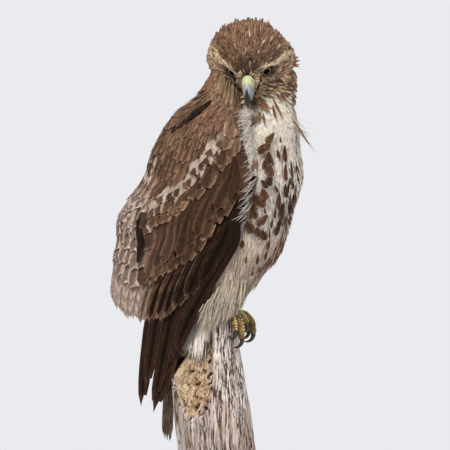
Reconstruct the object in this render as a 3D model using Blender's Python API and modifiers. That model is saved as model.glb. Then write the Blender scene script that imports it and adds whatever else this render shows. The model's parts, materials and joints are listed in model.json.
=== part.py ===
"""Life-size immature red-tailed hawk gripping the broken top of a dead trunk, on a plain display stand.

Numbers are millimetres and degrees; solid() turns them into metres. +Z is up and -Y faces the viewer.
The bird's own directions are FORWARD, RIGHT and UP: its breast faces right and a little towards the viewer,
and its head is turned over its right shoulder, bill down. The origin is the centre of the base's underside.
"""

import bisect
import math
import random

import bmesh
import bpy
from mathutils import Matrix, Vector, noise

MM = 0.001
GAP = 0.32
UP = Vector((0, 0, 1))

# Body directions
BODY_YAW = math.radians(22)
FORWARD = Vector((math.cos(BODY_YAW), -math.sin(BODY_YAW), 0))
RIGHT = Vector((-math.sin(BODY_YAW), -math.cos(BODY_YAW), 0))

# Torso and neck, as level sections: height, forward, right, half depth, half width
TRUNK = (
    (192, -24, 0, 11, 9),
    (196, -18, 0, 26, 20),
    (204, -12, 0, 41, 33),
    (216, -8, 0, 53, 42),
    (237, -3, 0, 65, 51),
    (256, 3.1, 0, 74, 57),
    (276, 7, 0, 77.6, 61),
    (303, 11.3, 0, 78.3, 64),
    (333, 18.7, 0, 80.3, 65),
    (366, 23.1, 0, 77.2, 62),
    (393, 29, 0, 70.6, 56),
    (410, 34.4, -3, 61, 46.5),
    (424, 38.9, -5, 54, 40),
    (437, 41.5, -6, 51, 36),
    (450, 43.5, -5, 49, 34),
    (465, 45, -2, 43, 30),
    (476, 46, 1, 33, 23),
)
TRUNK_SIDES = 28
# The body's sides are hollowed where the wings lie: depth by height, and share by angle from the breast
WING_BED = ((200, 0), (236, 7), (270, 10), (330, 10), (385, 7), (404, 0))
WING_BED_SHARE = ((44, 0), (57, 0.9), (68, 1), (140, 1), (165, 0))
NECK_FOOT_Z = 408
HEAD_CUT_CENTRE = Vector((38, -18, 447))
HEAD_CUT_TILT = math.radians(24)

# Head, in its own frame: forward along the bill, right and up
HEAD_CENTRE = Vector((38.9, -36, 461.8))
HEAD_YAW = math.radians(7)
HEAD_PITCH = math.radians(40)
HEAD_ROLL = math.radians(2)
# Sections: forward, half width, height of the widest level, crown, throat
HEAD_SECTIONS = (
    (37, 9.2, -1, 12.5, -13.5),
    (33, 12, -1, 17, -16),
    (28, 15.8, -1.5, 21.5, -19),
    (20, 24, -2, 27.5, -24),
    (10, 34.5, -4, 32.5, -30),
    (0, 43, -6, 36, -35),
    (-12, 49, -8, 37.5, -39),
    (-24, 51, -9, 37.5, -41),
    (-36, 48, -8, 34, -38),
    (-46, 38, -6, 26, -30),
    (-52, 22, -4, 14, -17),
)
# The skull narrows upwards, and the fluffed hind head lies a little over to the right
HEAD_NARROWING = 0.2
HEAD_SIDE_SHIFT = 0.12
HEAD_BACK = (-54.5, 7, -3)
HEAD_SIDES = 24
EYE_RADIUS = 10.4
EYE_PLACE = (16.6, 15, 5.8)
EYE_OUTWARD = math.radians(32)
EYE_UPWARD = math.radians(20)
LID_RADIUS = 7.1
LID_THICKNESS = 1.3
BROW_PLACE = (21.5, 20.5, 15.6)
BROW_LIE = (-0.70, 0.68, 0.22)
BROW_SIZE = (13.5, 4.2, 2.9)
GAPE_START = (38, 9.5, -3.6)
GAPE_END = (24, 21, -8.5)
GAPE_WIDTH = 1.0
NOSTRIL_PLACE = (43, 7.6, 4.2)
NOSTRIL_RADIUS = 1.25
# Bill, as sections across it: top forward and up, bottom forward and up, half width
CERE_SECTIONS = (
    (37.3, 11.0, 37.3, -3.2, 8.4),
    (42.0, 11.2, 42.4, -4.0, 7.9),
    (47.2, 8.3, 47.6, -5.0, 7.0),
)
UPPER_BILL_SECTIONS = (
    (47.55, 7.9, 47.95, -5.1, 6.8),
    (52.5, 4.8, 52.0, -6.2, 5.7),
    (57.0, -0.4, 56.0, -7.8, 4.3),
    (60.4, -6.4, 58.2, -10.4, 2.8),
    (61.9, -11.6, 60.0, -13.2, 1.5),
)
UPPER_BILL_TIP = (61.6, -16.8)
LOWER_BILL_SECTIONS = (
    (37.3, -4.2, 37.3, -12.2, 7.4),
    (46.0, -6.0, 45.0, -12.6, 6.2),
    (52.0, -7.6, 52.0, -11.8, 4.2),
)
LOWER_BILL_TIP = (55.6, -9.8)

# Wing envelope, which both folded wings lie in: height, forward, half depth, half width, taper to the back
WING_ENVELOPE = (
    (62, -72, 20, 21, 0.15),
    (80, -69.6, 24.1, 23, 0.2),
    (107, -62.8, 36.7, 26, 0.3),
    (150, -57.2, 54.3, 33, 0.38),
    (180, -53.5, 69.5, 42, 0.42),
    (205, -47.5, 82.5, 50, 0.42),
    (217, -43.5, 86.7, 54, 0.42),
    (243, -32.8, 93.8, 63, 0.34),
    (265, -21.8, 97.6, 70, 0.26),
    (287, -16.8, 101.1, 75, 0.18),
    (311, -5.9, 96.8, 77, 0.1),
    (333, 6.3, 90.3, 77, 0.05),
    (366, 14.1, 84.6, 74, 0),
    (393, 20.8, 76.8, 67, 0),
    (410, 26.4, 68.8, 57, 0),
    (424, 33.7, 57.6, 47, 0),
)
# Arm and shoulder under the coverts: angle round the envelope from the breast, and lowest height
WING_CORE_EDGE = (
    (50, 322),
    (58, 311),
    (66, 292),
    (74, 270),
    (83, 256),
    (92, 248),
    (101, 246),
    (113, 258),
    (130, 264),
    (150, 270),
    (172, 282),
)
WING_TOP_Z = 422
WING_CORE_ROWS = (0, 0.13, 0.3, 0.55, 1)
WING_CORE_COLUMNS = 8
WING_CLEARANCE = 0.7
# How high the arm's surface lies against the envelope, at heights above its lower edge
WING_CORE_RISE = ((0, -6.6), (20, -5.3), (45, -3.2), (75, -0.9), (110, -0.5), (200, -0.5))
WING_CORE_INSIDE = ((0, -11), (12, -13.8), (60, -15), (200, -15))
# Front edge of the folded wing: height, angle
WING_FRONT = ((240, 47), (311, 48), (366, 56), (410, 67), (422, 72))
WING_REAR_ANGLE = 173
# Vanes. Primaries, from the front one out: angle and height of the tip, angle of the root.
PRIMARIES = (
    (75, 112, 52),
    (76, 91, 53),
    (80, 81, 55),
    (90, 92, 56),
    (125, 83, 57),
    (109, 103, 60),
)
PRIMARY_ROOT_Z = 334
PRIMARY_ROOT_LIFT = -12.8
PRIMARY_LIFT = -6
PRIMARY_BOW = 3
PRIMARY_STEP = 1.02
PRIMARY_HALF_WIDTH = 8
# The left wing is folded tighter, and its primaries pass outside the trunk
LEFT_PRIMARY_TIP_ANGLES = (75, 76, 78, 80, 82, 84)
# Secondaries and tertials: angle and height of the tip, angle of the root
SECONDARY_TIPS = (
    (53, 222, 48),
    (68, 198, 55),
    (84, 182, 62),
    (98, 173, 76),
    (117, 177, 96),
    (132, 181, 114),
    (148, 189, 134),
    (160, 203, 152),
)
SECONDARY_COUNT = 10
SECONDARY_HALF_WIDTH = 11
SECONDARY_ROOT_RISE = 14
SECONDARY_ROOT_LIFT = -8.6
SECONDARY_LIFT = -5.6
GREATER_COVERT_TIPS = ((51, 307), (58, 297), (66, 276), (74, 249), (83, 236), (92, 228), (102, 214))
MEDIAN_COVERT_TIPS = ((62, 356), (70, 345), (80, 317), (88, 301), (96, 284), (106, 281))
SCAPULAR_TIPS = ((112, 243), (124, 240), (137, 246), (150, 256), (159, 268))
# Rows of coverts: tips, how many, length, and how high the tips lie against the envelope
COVERT_ROWS = (
    (GREATER_COVERT_TIPS, 6, 52, -3.1),
    (MEDIAN_COVERT_TIPS, 5, 44, -0.7),
    (SCAPULAR_TIPS, 4, 52, -0.7),
)
COVERT_HALF_WIDTH = 10.5
COVERT_LEAN = 1.5
COVERT_ROOT_DEPTH = 1.6
# Neighbours in a row lie by turns this much below and above the row's own level
ROW_STEP = 0.6
VANE_THICKNESS = 0.72
VANE_EDGE_THICKNESS = 0.5
VANE_CAMBER = 0.035
VANE_SEED = 47
VANE_UNEVEN = 2
# Share of the way along a vane, and share of its full width there
PRIMARY_PROFILE = ((0, 0.5), (0.35, 0.9), (0.65, 1), (0.92, 0.7), (1, 0.2))
SECONDARY_PROFILE = ((0, 0.9), (0.4, 1), (0.86, 0.8), (1, 0.2))
COVERT_PROFILE = ((0, 0.3), (0.5, 1), (0.88, 0.75), (1, 0.25))

# Legs, as level sections from the foot to the thigh: height, share of the way, half depth, half width
LEG = (
    (196.4, 0, 10, 9.5),
    (205, 0.25, 14, 13),
    (220, 0.6, 20.5, 17.5),
    (240, 0.9, 24.5, 20.5),
    (262, 1, 24, 20),
)
THIGH_PLACE = (16, 25)
LEG_SIDES = 18

# Feet
FOOT_PLACES = {"right": (20, 17.5), "left": (14, -15)}
FOOT_THICKNESS = 4.4
PERCH_TOP_Z = 182
TOE_NAMES = ("hallux", "inner", "middle", "outer")
# Each toe: direction away from forward towards the bird's middle, length, radius at the root, talon length
TOES = {
    "hallux": (178, 21, 4.6, 24),
    "inner": (24, 28, 4.8, 24),
    "middle": (-4, 43, 4.8, 20),
    "outer": (-38, 33, 4.3, 18),
}
TALON_TURN = math.radians(105)
HALLUX_TALON_RISE = math.radians(24)
HALLUX_TALON_TURN = math.radians(82)
TOE_TAPER = 0.2
TOE_JOINT_SWELL = 0.09
TOE_BEND_BEFORE_RIM = 5
TOE_BEND_RADIUS = 17
TOE_MOST_TURN = math.radians(84)

# Tail
TAIL_ROOT = (-50, 206)
TAIL_TIP = (-57, 47)
TAIL_TWIST = math.radians(4)
# Root of the tail: share of the length, half width, half depth
TAIL_ROOT_SECTIONS = ((0, 13, 8), (0.16, 15, 6.2), (0.3, 13, 3.2))
# Tail vanes: offset across, half width, lift towards the back, and how much further each reaches
TAIL_VANES = (
    (0, 8, 2.4, 2),
    (-6, 7, 1.2, 0),
    (6, 7, 1.2, 1),
    (-10.5, 6.5, 0, -3),
    (10.5, 6.5, 0, -1),
    (-14, 5.5, -1.2, -8),
    (14, 5.5, -1.2, -5),
)
TAIL_VANE_START = 0.12
TAIL_ROOT_SPREAD = 0.6
TAIL_PROFILE = ((0, 0.55), (0.5, 0.95), (0.93, 0.9), (1, 0.4))
# Undertail coverts: where each lock ends over the broken wood, as X and height
UNDERTAIL_TIPS = ((-42, 151), (-37, 137), (-29, 147), (-20, 128), (-13, 147), (-9, 163))
UNDERTAIL_TOP_Z = 195
UNDERTAIL_STAND_OFF = 5.5

# Perch, as level sections: height, X, Y, radius
PERCH = (
    (30, 1, -2, 42.4),
    (75, -4, -2, 41.6),
    (107, -8, -2, 40.3),
    (126, -9.8, -2, 39.4),
    (153, -12.4, -2, 37.6),
    (168, -12, -2, 39),
    (182, -12.2, -2, 37.6),
)
PERCH_SIDES = 30
BREAK_EDGE = Vector((-46, -2, 118.5))
BREAK_NORMAL = Vector((-0.536, -0.778, 0.328))
BREAK_SIDE_X = -3.5
# The wood behind the break falls away to the left, as a slope through this point
SLOPE_EDGE = Vector((-47, -2, 117))
SLOPE_NORMAL = Vector((-0.832, 0, 0.555))

# Stand
BASE_RADIUS = 100
BASE_HEIGHT = 12
ROD_RADIUS = 4.5
ROD_PLACES = (-17, 19)


# Looks by the first word of a name: colour and roughness
LOOKS = {
    "head": ((0.16, 0.09, 0.055), 0.85),
    "neck": ((0.2, 0.12, 0.07), 0.85),
    "torso": ((0.6, 0.52, 0.4), 0.85),
    "leg": ((0.62, 0.55, 0.43), 0.85),
    "wing": ((0.1, 0.055, 0.035), 0.7),
    "tail": ((0.1, 0.07, 0.05), 0.7),
    "undertail": ((0.7, 0.66, 0.58), 0.9),
    "eye": ((0.06, 0.04, 0.015), 0.1),
    "cere": ((0.5, 0.52, 0.2), 0.45),
    "bill": ((0.03, 0.035, 0.04), 0.35),
    "foot": ((0.42, 0.28, 0.06), 0.55),
    "talon": ((0.008, 0.008, 0.009), 0.3),
    "perch": ((0.3, 0.25, 0.2), 0.9),
    "stand": ((0.03, 0.03, 0.033), 0.5),
}


def clear_scene():
    for thing in list(bpy.data.objects):
        bpy.data.objects.remove(thing)


def body_point(forward, right, height):
    return FORWARD * forward + RIGHT * right + UP * height


def smooth(stations, key):
    """The values at a key, on a smooth curve through stations that each begin with their key."""
    keys = [row[0] for row in stations]
    key = min(max(key, keys[0]), keys[-1])
    i = min(max(bisect.bisect_right(keys, key) - 1, 0), len(keys) - 2)
    span = keys[i + 1] - keys[i]
    t = (key - keys[i]) / span

    def slope(k, column):
        low = max(k - 1, 0)
        high = min(k + 1, len(keys) - 1)
        return (stations[high][column] - stations[low][column]) / (keys[high] - keys[low])

    values = []
    for column in range(1, len(stations[0])):
        start = stations[i][column]
        end = stations[i + 1][column]
        values.append(
            start * (2 * t**3 - 3 * t**2 + 1)
            + end * (3 * t**2 - 2 * t**3)
            + slope(i, column) * span * (t**3 - 2 * t**2 + t)
            + slope(i + 1, column) * span * (t**3 - t**2)
        )
    return values


def solid(name, points, faces):
    """A mesh object from points in millimetres."""
    mesh = bpy.data.meshes.new(name)
    mesh.from_pydata([tuple(Vector(p) * MM) for p in points], [], faces)
    mesh.update()
    thing = bpy.data.objects.new(name, mesh)
    bpy.context.scene.collection.objects.link(thing)
    return thing


def face_out(thing):
    shape = bmesh.new()
    shape.from_mesh(thing.data)
    bmesh.ops.recalc_face_normals(shape, faces=shape.faces)
    if shape.calc_volume(signed=True) < 0:
        bmesh.ops.reverse_faces(shape, faces=shape.faces)
    shape.to_mesh(thing.data)
    shape.free()
    return thing


def loft(name, rings, start=None, end=None):
    """A closed skin over rings of equal count. An end with no point gets a flat cap."""
    count = len(rings[0])
    points = [p for ring in rings for p in ring]
    faces = []
    for i in range(len(rings) - 1):
        for k in range(count):
            n = (k + 1) % count
            faces.append((i * count + k, i * count + n, (i + 1) * count + n, (i + 1) * count + k))
    for point, first in ((start, 0), (end, (len(rings) - 1) * count)):
        if point is None:
            faces.append(tuple(first + k for k in range(count)))
            continue
        points.append(point)
        for k in range(count):
            faces.append((first + k, first + (k + 1) % count, len(points) - 1))
    return face_out(solid(name, points, faces))


def tube(name, path, radii, sides=10, start_reach=0.0, end_reach=0.0):
    """A round tube along points, each with its own radius. An end reaches on to a point, or is flat."""
    rings = []
    across = None
    for i, here in enumerate(path):
        tangent = (path[min(i + 1, len(path) - 1)] - path[max(i - 1, 0)]).normalized()
        if across is None:
            across = tangent.orthogonal().normalized()
        across = (across - tangent * across.dot(tangent)).normalized()
        other = tangent.cross(across)
        rings.append(
            [
                here + (across * math.cos(a) + other * math.sin(a)) * radii[i]
                for a in (2 * math.pi * k / sides for k in range(sides))
            ]
        )
    start, end = None, None
    if start_reach:
        start = path[0] - (path[1] - path[0]).normalized() * start_reach
    if end_reach:
        end = path[-1] + (path[-1] - path[-2]).normalized() * end_reach
    return loft(name, rings, start, end)


def evaluated(thing):
    """Applies the modifiers of an object to its mesh."""
    bpy.context.view_layer.update()
    graph = bpy.context.evaluated_depsgraph_get()
    mesh = bpy.data.meshes.new_from_object(thing.evaluated_get(graph))
    thing.modifiers.clear()
    thing.data = mesh
    return thing


def join(thing, others):
    """One closed body from several: a Boolean union on a collection, applied.

    The solver is MANIFOLD because EXACT leaves open edges where a grown mesh crosses itself.
    """
    group = bpy.data.collections.new(thing.name + "_pieces")
    for other in others:
        group.objects.link(other)
    bpy.context.scene.collection.children.link(group)
    modifier = thing.modifiers.new("join", "BOOLEAN")
    modifier.operation = "UNION"
    modifier.operand_type = "COLLECTION"
    modifier.collection = group
    modifier.solver = "MANIFOLD"
    evaluated(thing)
    for other in others:
        bpy.data.objects.remove(other)
    bpy.data.collections.remove(group)
    return thing


def cut(thing, cutter):
    modifier = thing.modifiers.new("cut", "BOOLEAN")
    modifier.operation = "DIFFERENCE"
    modifier.object = cutter
    modifier.solver = "MANIFOLD"
    evaluated(thing)
    bpy.data.objects.remove(cutter)
    return thing


def triangulated(thing):
    shape = bmesh.new()
    shape.from_mesh(thing.data)
    bmesh.ops.triangulate(shape, faces=shape.faces)
    shape.to_mesh(thing.data)
    shape.free()
    return thing


def grown(thing, by):
    """A copy whose surface lies further out, which cuts a neighbour back to a gap.

    The object itself becomes triangles first, so that both bend along the same edges.
    """
    triangulated(thing)
    copy = thing.copy()
    copy.data = thing.data.copy()
    copy.name = thing.name + "_grown"
    bpy.context.scene.collection.objects.link(copy)
    shape = bmesh.new()
    shape.from_mesh(copy.data)
    shape.normal_update()
    for vertex in shape.verts:
        vertex.co += vertex.normal * by * MM * vertex.calc_shell_factor()
    shape.to_mesh(copy.data)
    shape.free()
    return copy


def bodies_of(thing):
    """Splits an object into its closed surfaces, largest first, as bmesh copies."""
    shape = bmesh.new()
    shape.from_mesh(thing.data)
    seen = set()
    groups = []
    for seed in shape.verts:
        if seed in seen:
            continue
        stack = [seed]
        group = set()
        while stack:
            vertex = stack.pop()
            if vertex in group:
                continue
            group.add(vertex)
            stack.extend(edge.other_vert(vertex) for edge in vertex.link_edges)
        seen |= group
        groups.append({vertex.index for vertex in group})
    shape.free()
    found = []
    for group in groups:
        piece = bmesh.new()
        piece.from_mesh(thing.data)
        piece.verts.ensure_lookup_table()
        bmesh.ops.delete(piece, geom=[v for v in piece.verts if v.index not in group], context="VERTS")
        found.append(piece)
    return sorted(found, key=lambda piece: -piece.calc_volume())


def keep_largest(thing):
    pieces = bodies_of(thing)
    pieces[0].to_mesh(thing.data)
    for piece in pieces:
        piece.free()
    return thing


def ellipsoid(name, centre, axes, sizes, rings=10, sides=14):
    """A UV sphere stretched along three directions."""
    mesh = bpy.data.meshes.new(name)
    shape = bmesh.new()
    bmesh.ops.create_uvsphere(shape, u_segments=sides, v_segments=rings, radius=MM)
    turn = Matrix([[axes[c][r] * sizes[c] for c in range(3)] for r in range(3)])
    for vertex in shape.verts:
        vertex.co = turn @ vertex.co + Vector(centre) * MM
    shape.to_mesh(mesh)
    shape.free()
    thing = bpy.data.objects.new(name, mesh)
    bpy.context.scene.collection.objects.link(thing)
    return face_out(thing)


def slab(name, centre, axes, sizes):
    """A box given by its centre, three directions and its full sizes."""
    mesh = bpy.data.meshes.new(name)
    shape = bmesh.new()
    bmesh.ops.create_cube(shape, size=MM)
    turn = Matrix([[axes[c][r] * sizes[c] for c in range(3)] for r in range(3)])
    for vertex in shape.verts:
        vertex.co = turn @ vertex.co + Vector(centre) * MM
    shape.to_mesh(mesh)
    shape.free()
    thing = bpy.data.objects.new(name, mesh)
    bpy.context.scene.collection.objects.link(thing)
    return face_out(thing)


def level_ring(height, forward, right, half_depth, half_width, sides):
    ring = []
    for k in range(sides):
        a = 2 * math.pi * k / sides
        ring.append(
            body_point(forward + half_depth * math.cos(a), right + half_width * math.sin(a), height)
        )
    return ring


def wing_bed(height, angle):
    """How far the body's side is hollowed at a height and an angle from the breast, in degrees."""
    angle = abs((angle + 180) % 360 - 180)
    return smooth(WING_BED, height)[0] * smooth(WING_BED_SHARE, angle)[0]


def make_trunk():
    """Torso and neck as one skin."""
    heights = [192, 196, 204, 216, 232, 250, 270, 292, 315, 340, 364, 386, 405, 418, 432, 446, 460, 476]
    rings = []
    for height in heights:
        forward, right, half_depth, half_width = smooth(TRUNK, height)
        ring = level_ring(height, forward, right, half_depth, half_width, TRUNK_SIDES)
        middle = body_point(forward, right, height)
        for k, point in enumerate(ring):
            bed = wing_bed(height, 360 * k / TRUNK_SIDES)
            ring[k] = point - (point - middle).normalized() * bed
        rings.append(ring)
    start = body_point(-24, 0, 191)
    end = body_point(46, 2, 480)
    return loft("trunk", rings, start, end)


def head_axes():
    forward = Vector(
        (
            -math.sin(HEAD_YAW) * math.cos(HEAD_PITCH),
            -math.cos(HEAD_YAW) * math.cos(HEAD_PITCH),
            -math.sin(HEAD_PITCH),
        )
    )
    right = Vector((-math.cos(HEAD_YAW), math.sin(HEAD_YAW), 0))
    right = Matrix.Rotation(HEAD_ROLL, 3, forward) @ right
    up = right.cross(forward)
    return forward, right, up


HEAD_FORWARD, HEAD_RIGHT, HEAD_UP = head_axes()


def head_point(forward, right, up):
    return HEAD_CENTRE + HEAD_FORWARD * forward + HEAD_RIGHT * right + HEAD_UP * up


def head_direction(forward, right, up):
    return (HEAD_FORWARD * forward + HEAD_RIGHT * right + HEAD_UP * up).normalized()


def make_head_form():
    rings = []
    for forward, half_width, middle, top, bottom in HEAD_SECTIONS:
        ring = []
        for k in range(HEAD_SIDES):
            a = 2 * math.pi * k / HEAD_SIDES
            reach = top - middle if math.sin(a) > 0 else middle - bottom
            across = half_width * math.cos(a) * (1 - HEAD_NARROWING * math.sin(a))
            across += HEAD_SIDE_SHIFT * max(10 - forward, 0)
            ring.append(head_point(forward, across, middle + reach * math.sin(a)))
        rings.append(ring)
    form = loft("head_form", rings, None, head_point(*HEAD_BACK))
    return form


def eye_centre(side):
    return head_point(EYE_PLACE[0], side * EYE_PLACE[1], EYE_PLACE[2])


def eye_axes(side):
    """The way an eye looks, and two directions across it."""
    look = head_direction(
        math.cos(EYE_UPWARD) * math.cos(EYE_OUTWARD),
        side * math.cos(EYE_UPWARD) * math.sin(EYE_OUTWARD),
        math.sin(EYE_UPWARD),
    )
    across = look.cross(HEAD_UP).normalized()
    return look, across, across.cross(look)


def eyeball(name, side, radius):
    look, across, over = eye_axes(side)
    return ellipsoid(name, eye_centre(side), (across, over, look), [radius] * 3, 8, 12)


def make_lid(side):
    """The rim of the lids: a ring round the opening, flatter than it is wide."""
    look, across, over = eye_axes(side)
    depth = math.sqrt(EYE_RADIUS**2 - LID_RADIUS**2)
    centre = eye_centre(side) + look * depth
    sides, edges = 14, 5
    rings = []
    for k in range(sides):
        a = 2 * math.pi * k / sides
        out = across * math.cos(a) + over * math.sin(a)
        ring = []
        for n in range(edges):
            b = 2 * math.pi * n / edges
            ring.append(
                centre
                + out * (LID_RADIUS + 0.6 + LID_THICKNESS * math.cos(b))
                + look * (LID_THICKNESS * 0.9 * math.sin(b) - 0.4)
            )
        rings.append(ring)
    points = [p for ring in rings for p in ring]
    faces = []
    for i in range(sides):
        for k in range(edges):
            a, b = i * edges + k, i * edges + (k + 1) % edges
            c, d = ((i + 1) % sides) * edges + (k + 1) % edges, ((i + 1) % sides) * edges + k
            faces.append((a, b, c, d))
    return face_out(solid("lid", points, faces))


def make_flesh():
    """Torso, neck and head, made whole and parted with thin cuts."""
    whole = make_trunk()
    pieces = [make_head_form()]
    for side in (1, -1):
        lie = head_direction(BROW_LIE[0], side * BROW_LIE[1], BROW_LIE[2])
        flat = lie.cross(HEAD_UP).normalized()
        pieces.append(
            ellipsoid(
                "brow",
                head_point(BROW_PLACE[0], side * BROW_PLACE[1], BROW_PLACE[2]),
                (lie, flat, flat.cross(lie)),
                BROW_SIZE,
                6,
                10,
            )
        )
        pieces.append(make_lid(side))
    join(whole, pieces)
    for side in (1, -1):
        cut(whole, eyeball("socket", side, EYE_RADIUS + GAP))
        start = head_point(GAPE_START[0], side * GAPE_START[1], GAPE_START[2])
        end = head_point(GAPE_END[0], side * GAPE_END[1], GAPE_END[2])
        along = (end - start).normalized()
        out = (HEAD_RIGHT * side - along * along.dot(HEAD_RIGHT * side)).normalized()
        cut(
            whole,
            slab(
                "gape",
                (start + end) / 2,
                (along, out, along.cross(out)),
                ((end - start).length, 6, GAPE_WIDTH),
            ),
        )
    level = (Vector((1, 0, 0)), Vector((0, 1, 0)), UP)
    cut(whole, slab("neck_cut", Vector((30, -10, NECK_FOOT_Z)), level, (300, 300, GAP)))
    tilt = Matrix.Rotation(HEAD_CUT_TILT, 3, "X")
    cut(
        whole,
        slab("head_cut", HEAD_CUT_CENTRE, [tilt @ axis for axis in level], (300, 300, GAP)),
    )
    names = {}
    for piece in bodies_of(whole):
        middle = sum((v.co.z for v in piece.verts), 0.0) / len(piece.verts) / MM
        name = "torso" if middle < NECK_FOOT_Z - 20 else "neck" if middle < 440 else "head"
        if name not in names and piece.calc_volume() > 1e-8:
            mesh = bpy.data.meshes.new(name)
            piece.to_mesh(mesh)
            names[name] = bpy.data.objects.new(name, mesh)
            bpy.context.scene.collection.objects.link(names[name])
        piece.free()
    bpy.data.objects.remove(whole)
    return names


def bill_ring(section, sides, flat_bottom):
    top_forward, top_up, bottom_forward, bottom_up, half_width = section
    ring = []
    for k in range(sides):
        a = 2 * math.pi * k / sides
        high = math.sin(a)
        if high > 0:
            share = 0.35 + 0.65 * high
        else:
            share = 0.35 - 0.35 * abs(high) ** flat_bottom
        forward = bottom_forward + (top_forward - bottom_forward) * share
        up = bottom_up + (top_up - bottom_up) * share
        ring.append(head_point(forward, half_width * math.cos(a), up))
    return ring


def make_bill():
    sides = 14
    cere = loft("cere", [bill_ring(s, sides, 0.6) for s in CERE_SECTIONS])
    for side in (1, -1):
        place = head_point(NOSTRIL_PLACE[0], side * NOSTRIL_PLACE[1], NOSTRIL_PLACE[2])
        axes = (HEAD_FORWARD, HEAD_RIGHT, HEAD_UP)
        cut(cere, ellipsoid("nostril", place, axes, (NOSTRIL_RADIUS, 2.2, NOSTRIL_RADIUS * 1.5), 6, 8))
    tip = head_point(UPPER_BILL_TIP[0], 0, UPPER_BILL_TIP[1])
    upper = loft("bill_upper", [bill_ring(s, sides, 0.6) for s in UPPER_BILL_SECTIONS], None, tip)
    tip = head_point(LOWER_BILL_TIP[0], 0, LOWER_BILL_TIP[1])
    lower = loft("bill_lower", [bill_ring(s, sides, 1.0) for s in LOWER_BILL_SECTIONS], None, tip)
    for other in (cere, upper):
        cut(lower, grown(other, GAP))
    return [cere, upper, keep_largest(lower)]


def wing_point(side, angle, height, lift=0.0):
    """A point on the wing envelope or lifted off it. Side 1 is the right wing, angle 0 the breast."""
    base = envelope_point(side, angle, height)
    if lift == 0:
        return base
    return base + wing_normal(side, angle, height) * lift


def envelope_point(side, angle, height):
    forward, half_depth, half_width, taper = smooth(WING_ENVELOPE, height)
    a = math.radians(angle)
    return body_point(
        forward + half_depth * math.cos(a),
        side * half_width * math.sin(a) * (1 + taper * math.cos(a)),
        height,
    )


def wing_normal(side, angle, height):
    round_it = envelope_point(side, angle + 1, height) - envelope_point(side, angle - 1, height)
    up_it = envelope_point(side, angle, height + 2) - envelope_point(side, angle, height - 2)
    return round_it.cross(up_it).normalized() * -side


def vane(name, middles, axes, half_widths, camber=VANE_CAMBER):
    """A thin feather vane: six points to a section, with the same triangles on both faces.

    Each axes entry holds the direction across the vane and the one out of it.
    """
    middle_half = VANE_THICKNESS / 2
    edge_half = VANE_EDGE_THICKNESS / 2
    points = []
    for middle, (across, out), half_width in zip(middles, axes, half_widths):
        for sign in (1, -1):
            points.append(middle - across * half_width + out * (sign * edge_half))
            points.append(middle + out * (sign * middle_half + camber * half_width))
            points.append(middle + across * half_width + out * (sign * edge_half))
    faces = []
    last = (len(middles) - 1) * 6
    for i in range(0, last, 6):
        for low, high in ((i, i + 6), (i + 3, i + 9)):
            for k in (0, 1):
                corner = low + k, low + k + 1, high + k + 1, high + k
                first = k * 2
                faces.append((corner[first % 4], corner[first % 4 + 1], corner[(first + 3) % 4]))
                faces.append((corner[first % 4 + 1], corner[(first + 2) % 4], corner[(first + 3) % 4]))
        faces.append((i, i + 6, i + 9, i + 3))
        faces.append((i + 2, i + 5, i + 11, i + 8))
    for i in (0, last):
        faces.append((i, i + 1, i + 4, i + 3))
        faces.append((i + 1, i + 2, i + 5, i + 4))
    return face_out(solid(name, points, faces))


def wing_vane(side, root, tip, half_width, profile, bow=1.0, camber=VANE_CAMBER):
    """A vane that lies on the wing envelope. Root and tip are each an angle, a height and a lift."""
    middles, normals, half_widths = [], [], []
    for share, width_share in profile:
        angle = root[0] + (tip[0] - root[0]) * share
        height = root[1] + (tip[1] - root[1]) * share
        lift = root[2] + (tip[2] - root[2]) * share**bow
        middles.append(wing_point(side, angle, height, lift))
        normals.append(wing_normal(side, angle, height))
        half_widths.append(half_width * width_share)
    axes = []
    for i, out in enumerate(normals):
        along = middles[min(i + 1, len(middles) - 1)] - middles[max(i - 1, 0)]
        axes.append((along.cross(out).normalized(), out))
    return vane("vane", middles, axes, half_widths, camber)


def along_row(row, count):
    """Places spread evenly along a row of vane tips."""
    stations = [(i / (len(row) - 1), *place) for i, place in enumerate(row)]
    return [smooth(stations, k / (count - 1)) for k in range(count)]


def core_low(angle):
    return smooth(WING_CORE_EDGE, max(angle, WING_CORE_EDGE[0][0]))[0]


def core_lift(angle, height):
    """How high the arm's surface lies against the envelope."""
    return smooth(WING_CORE_RISE, max(height - core_low(angle), 0))[0]


def make_wing_core(side, name):
    """The arm, shoulder and scapular bed, on which the vanes are rooted."""
    outer, inner = [], []
    for climb in WING_CORE_ROWS:
        out_row, in_row = [], []
        for k in range(WING_CORE_COLUMNS + 1):
            share = k / WING_CORE_COLUMNS
            angle = WING_REAR_ANGLE * share + WING_CORE_EDGE[0][0] * (1 - share)
            low = core_low(angle)
            height = low + (WING_TOP_Z - low) * climb
            lift = core_lift(angle, height)
            front = smooth(WING_FRONT, height)[0]
            angle = WING_REAR_ANGLE * share + front * (1 - share)
            inner_lift = smooth(WING_CORE_INSIDE, height - low)[0]
            out_row.append(wing_point(side, angle, height, lift))
            in_row.append(wing_point(side, angle, height, inner_lift))
        outer.append(out_row)
        inner.append(in_row)
    rings = [a + b[::-1] for a, b in zip(outer, inner)]
    return loft(name, rings)


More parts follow.
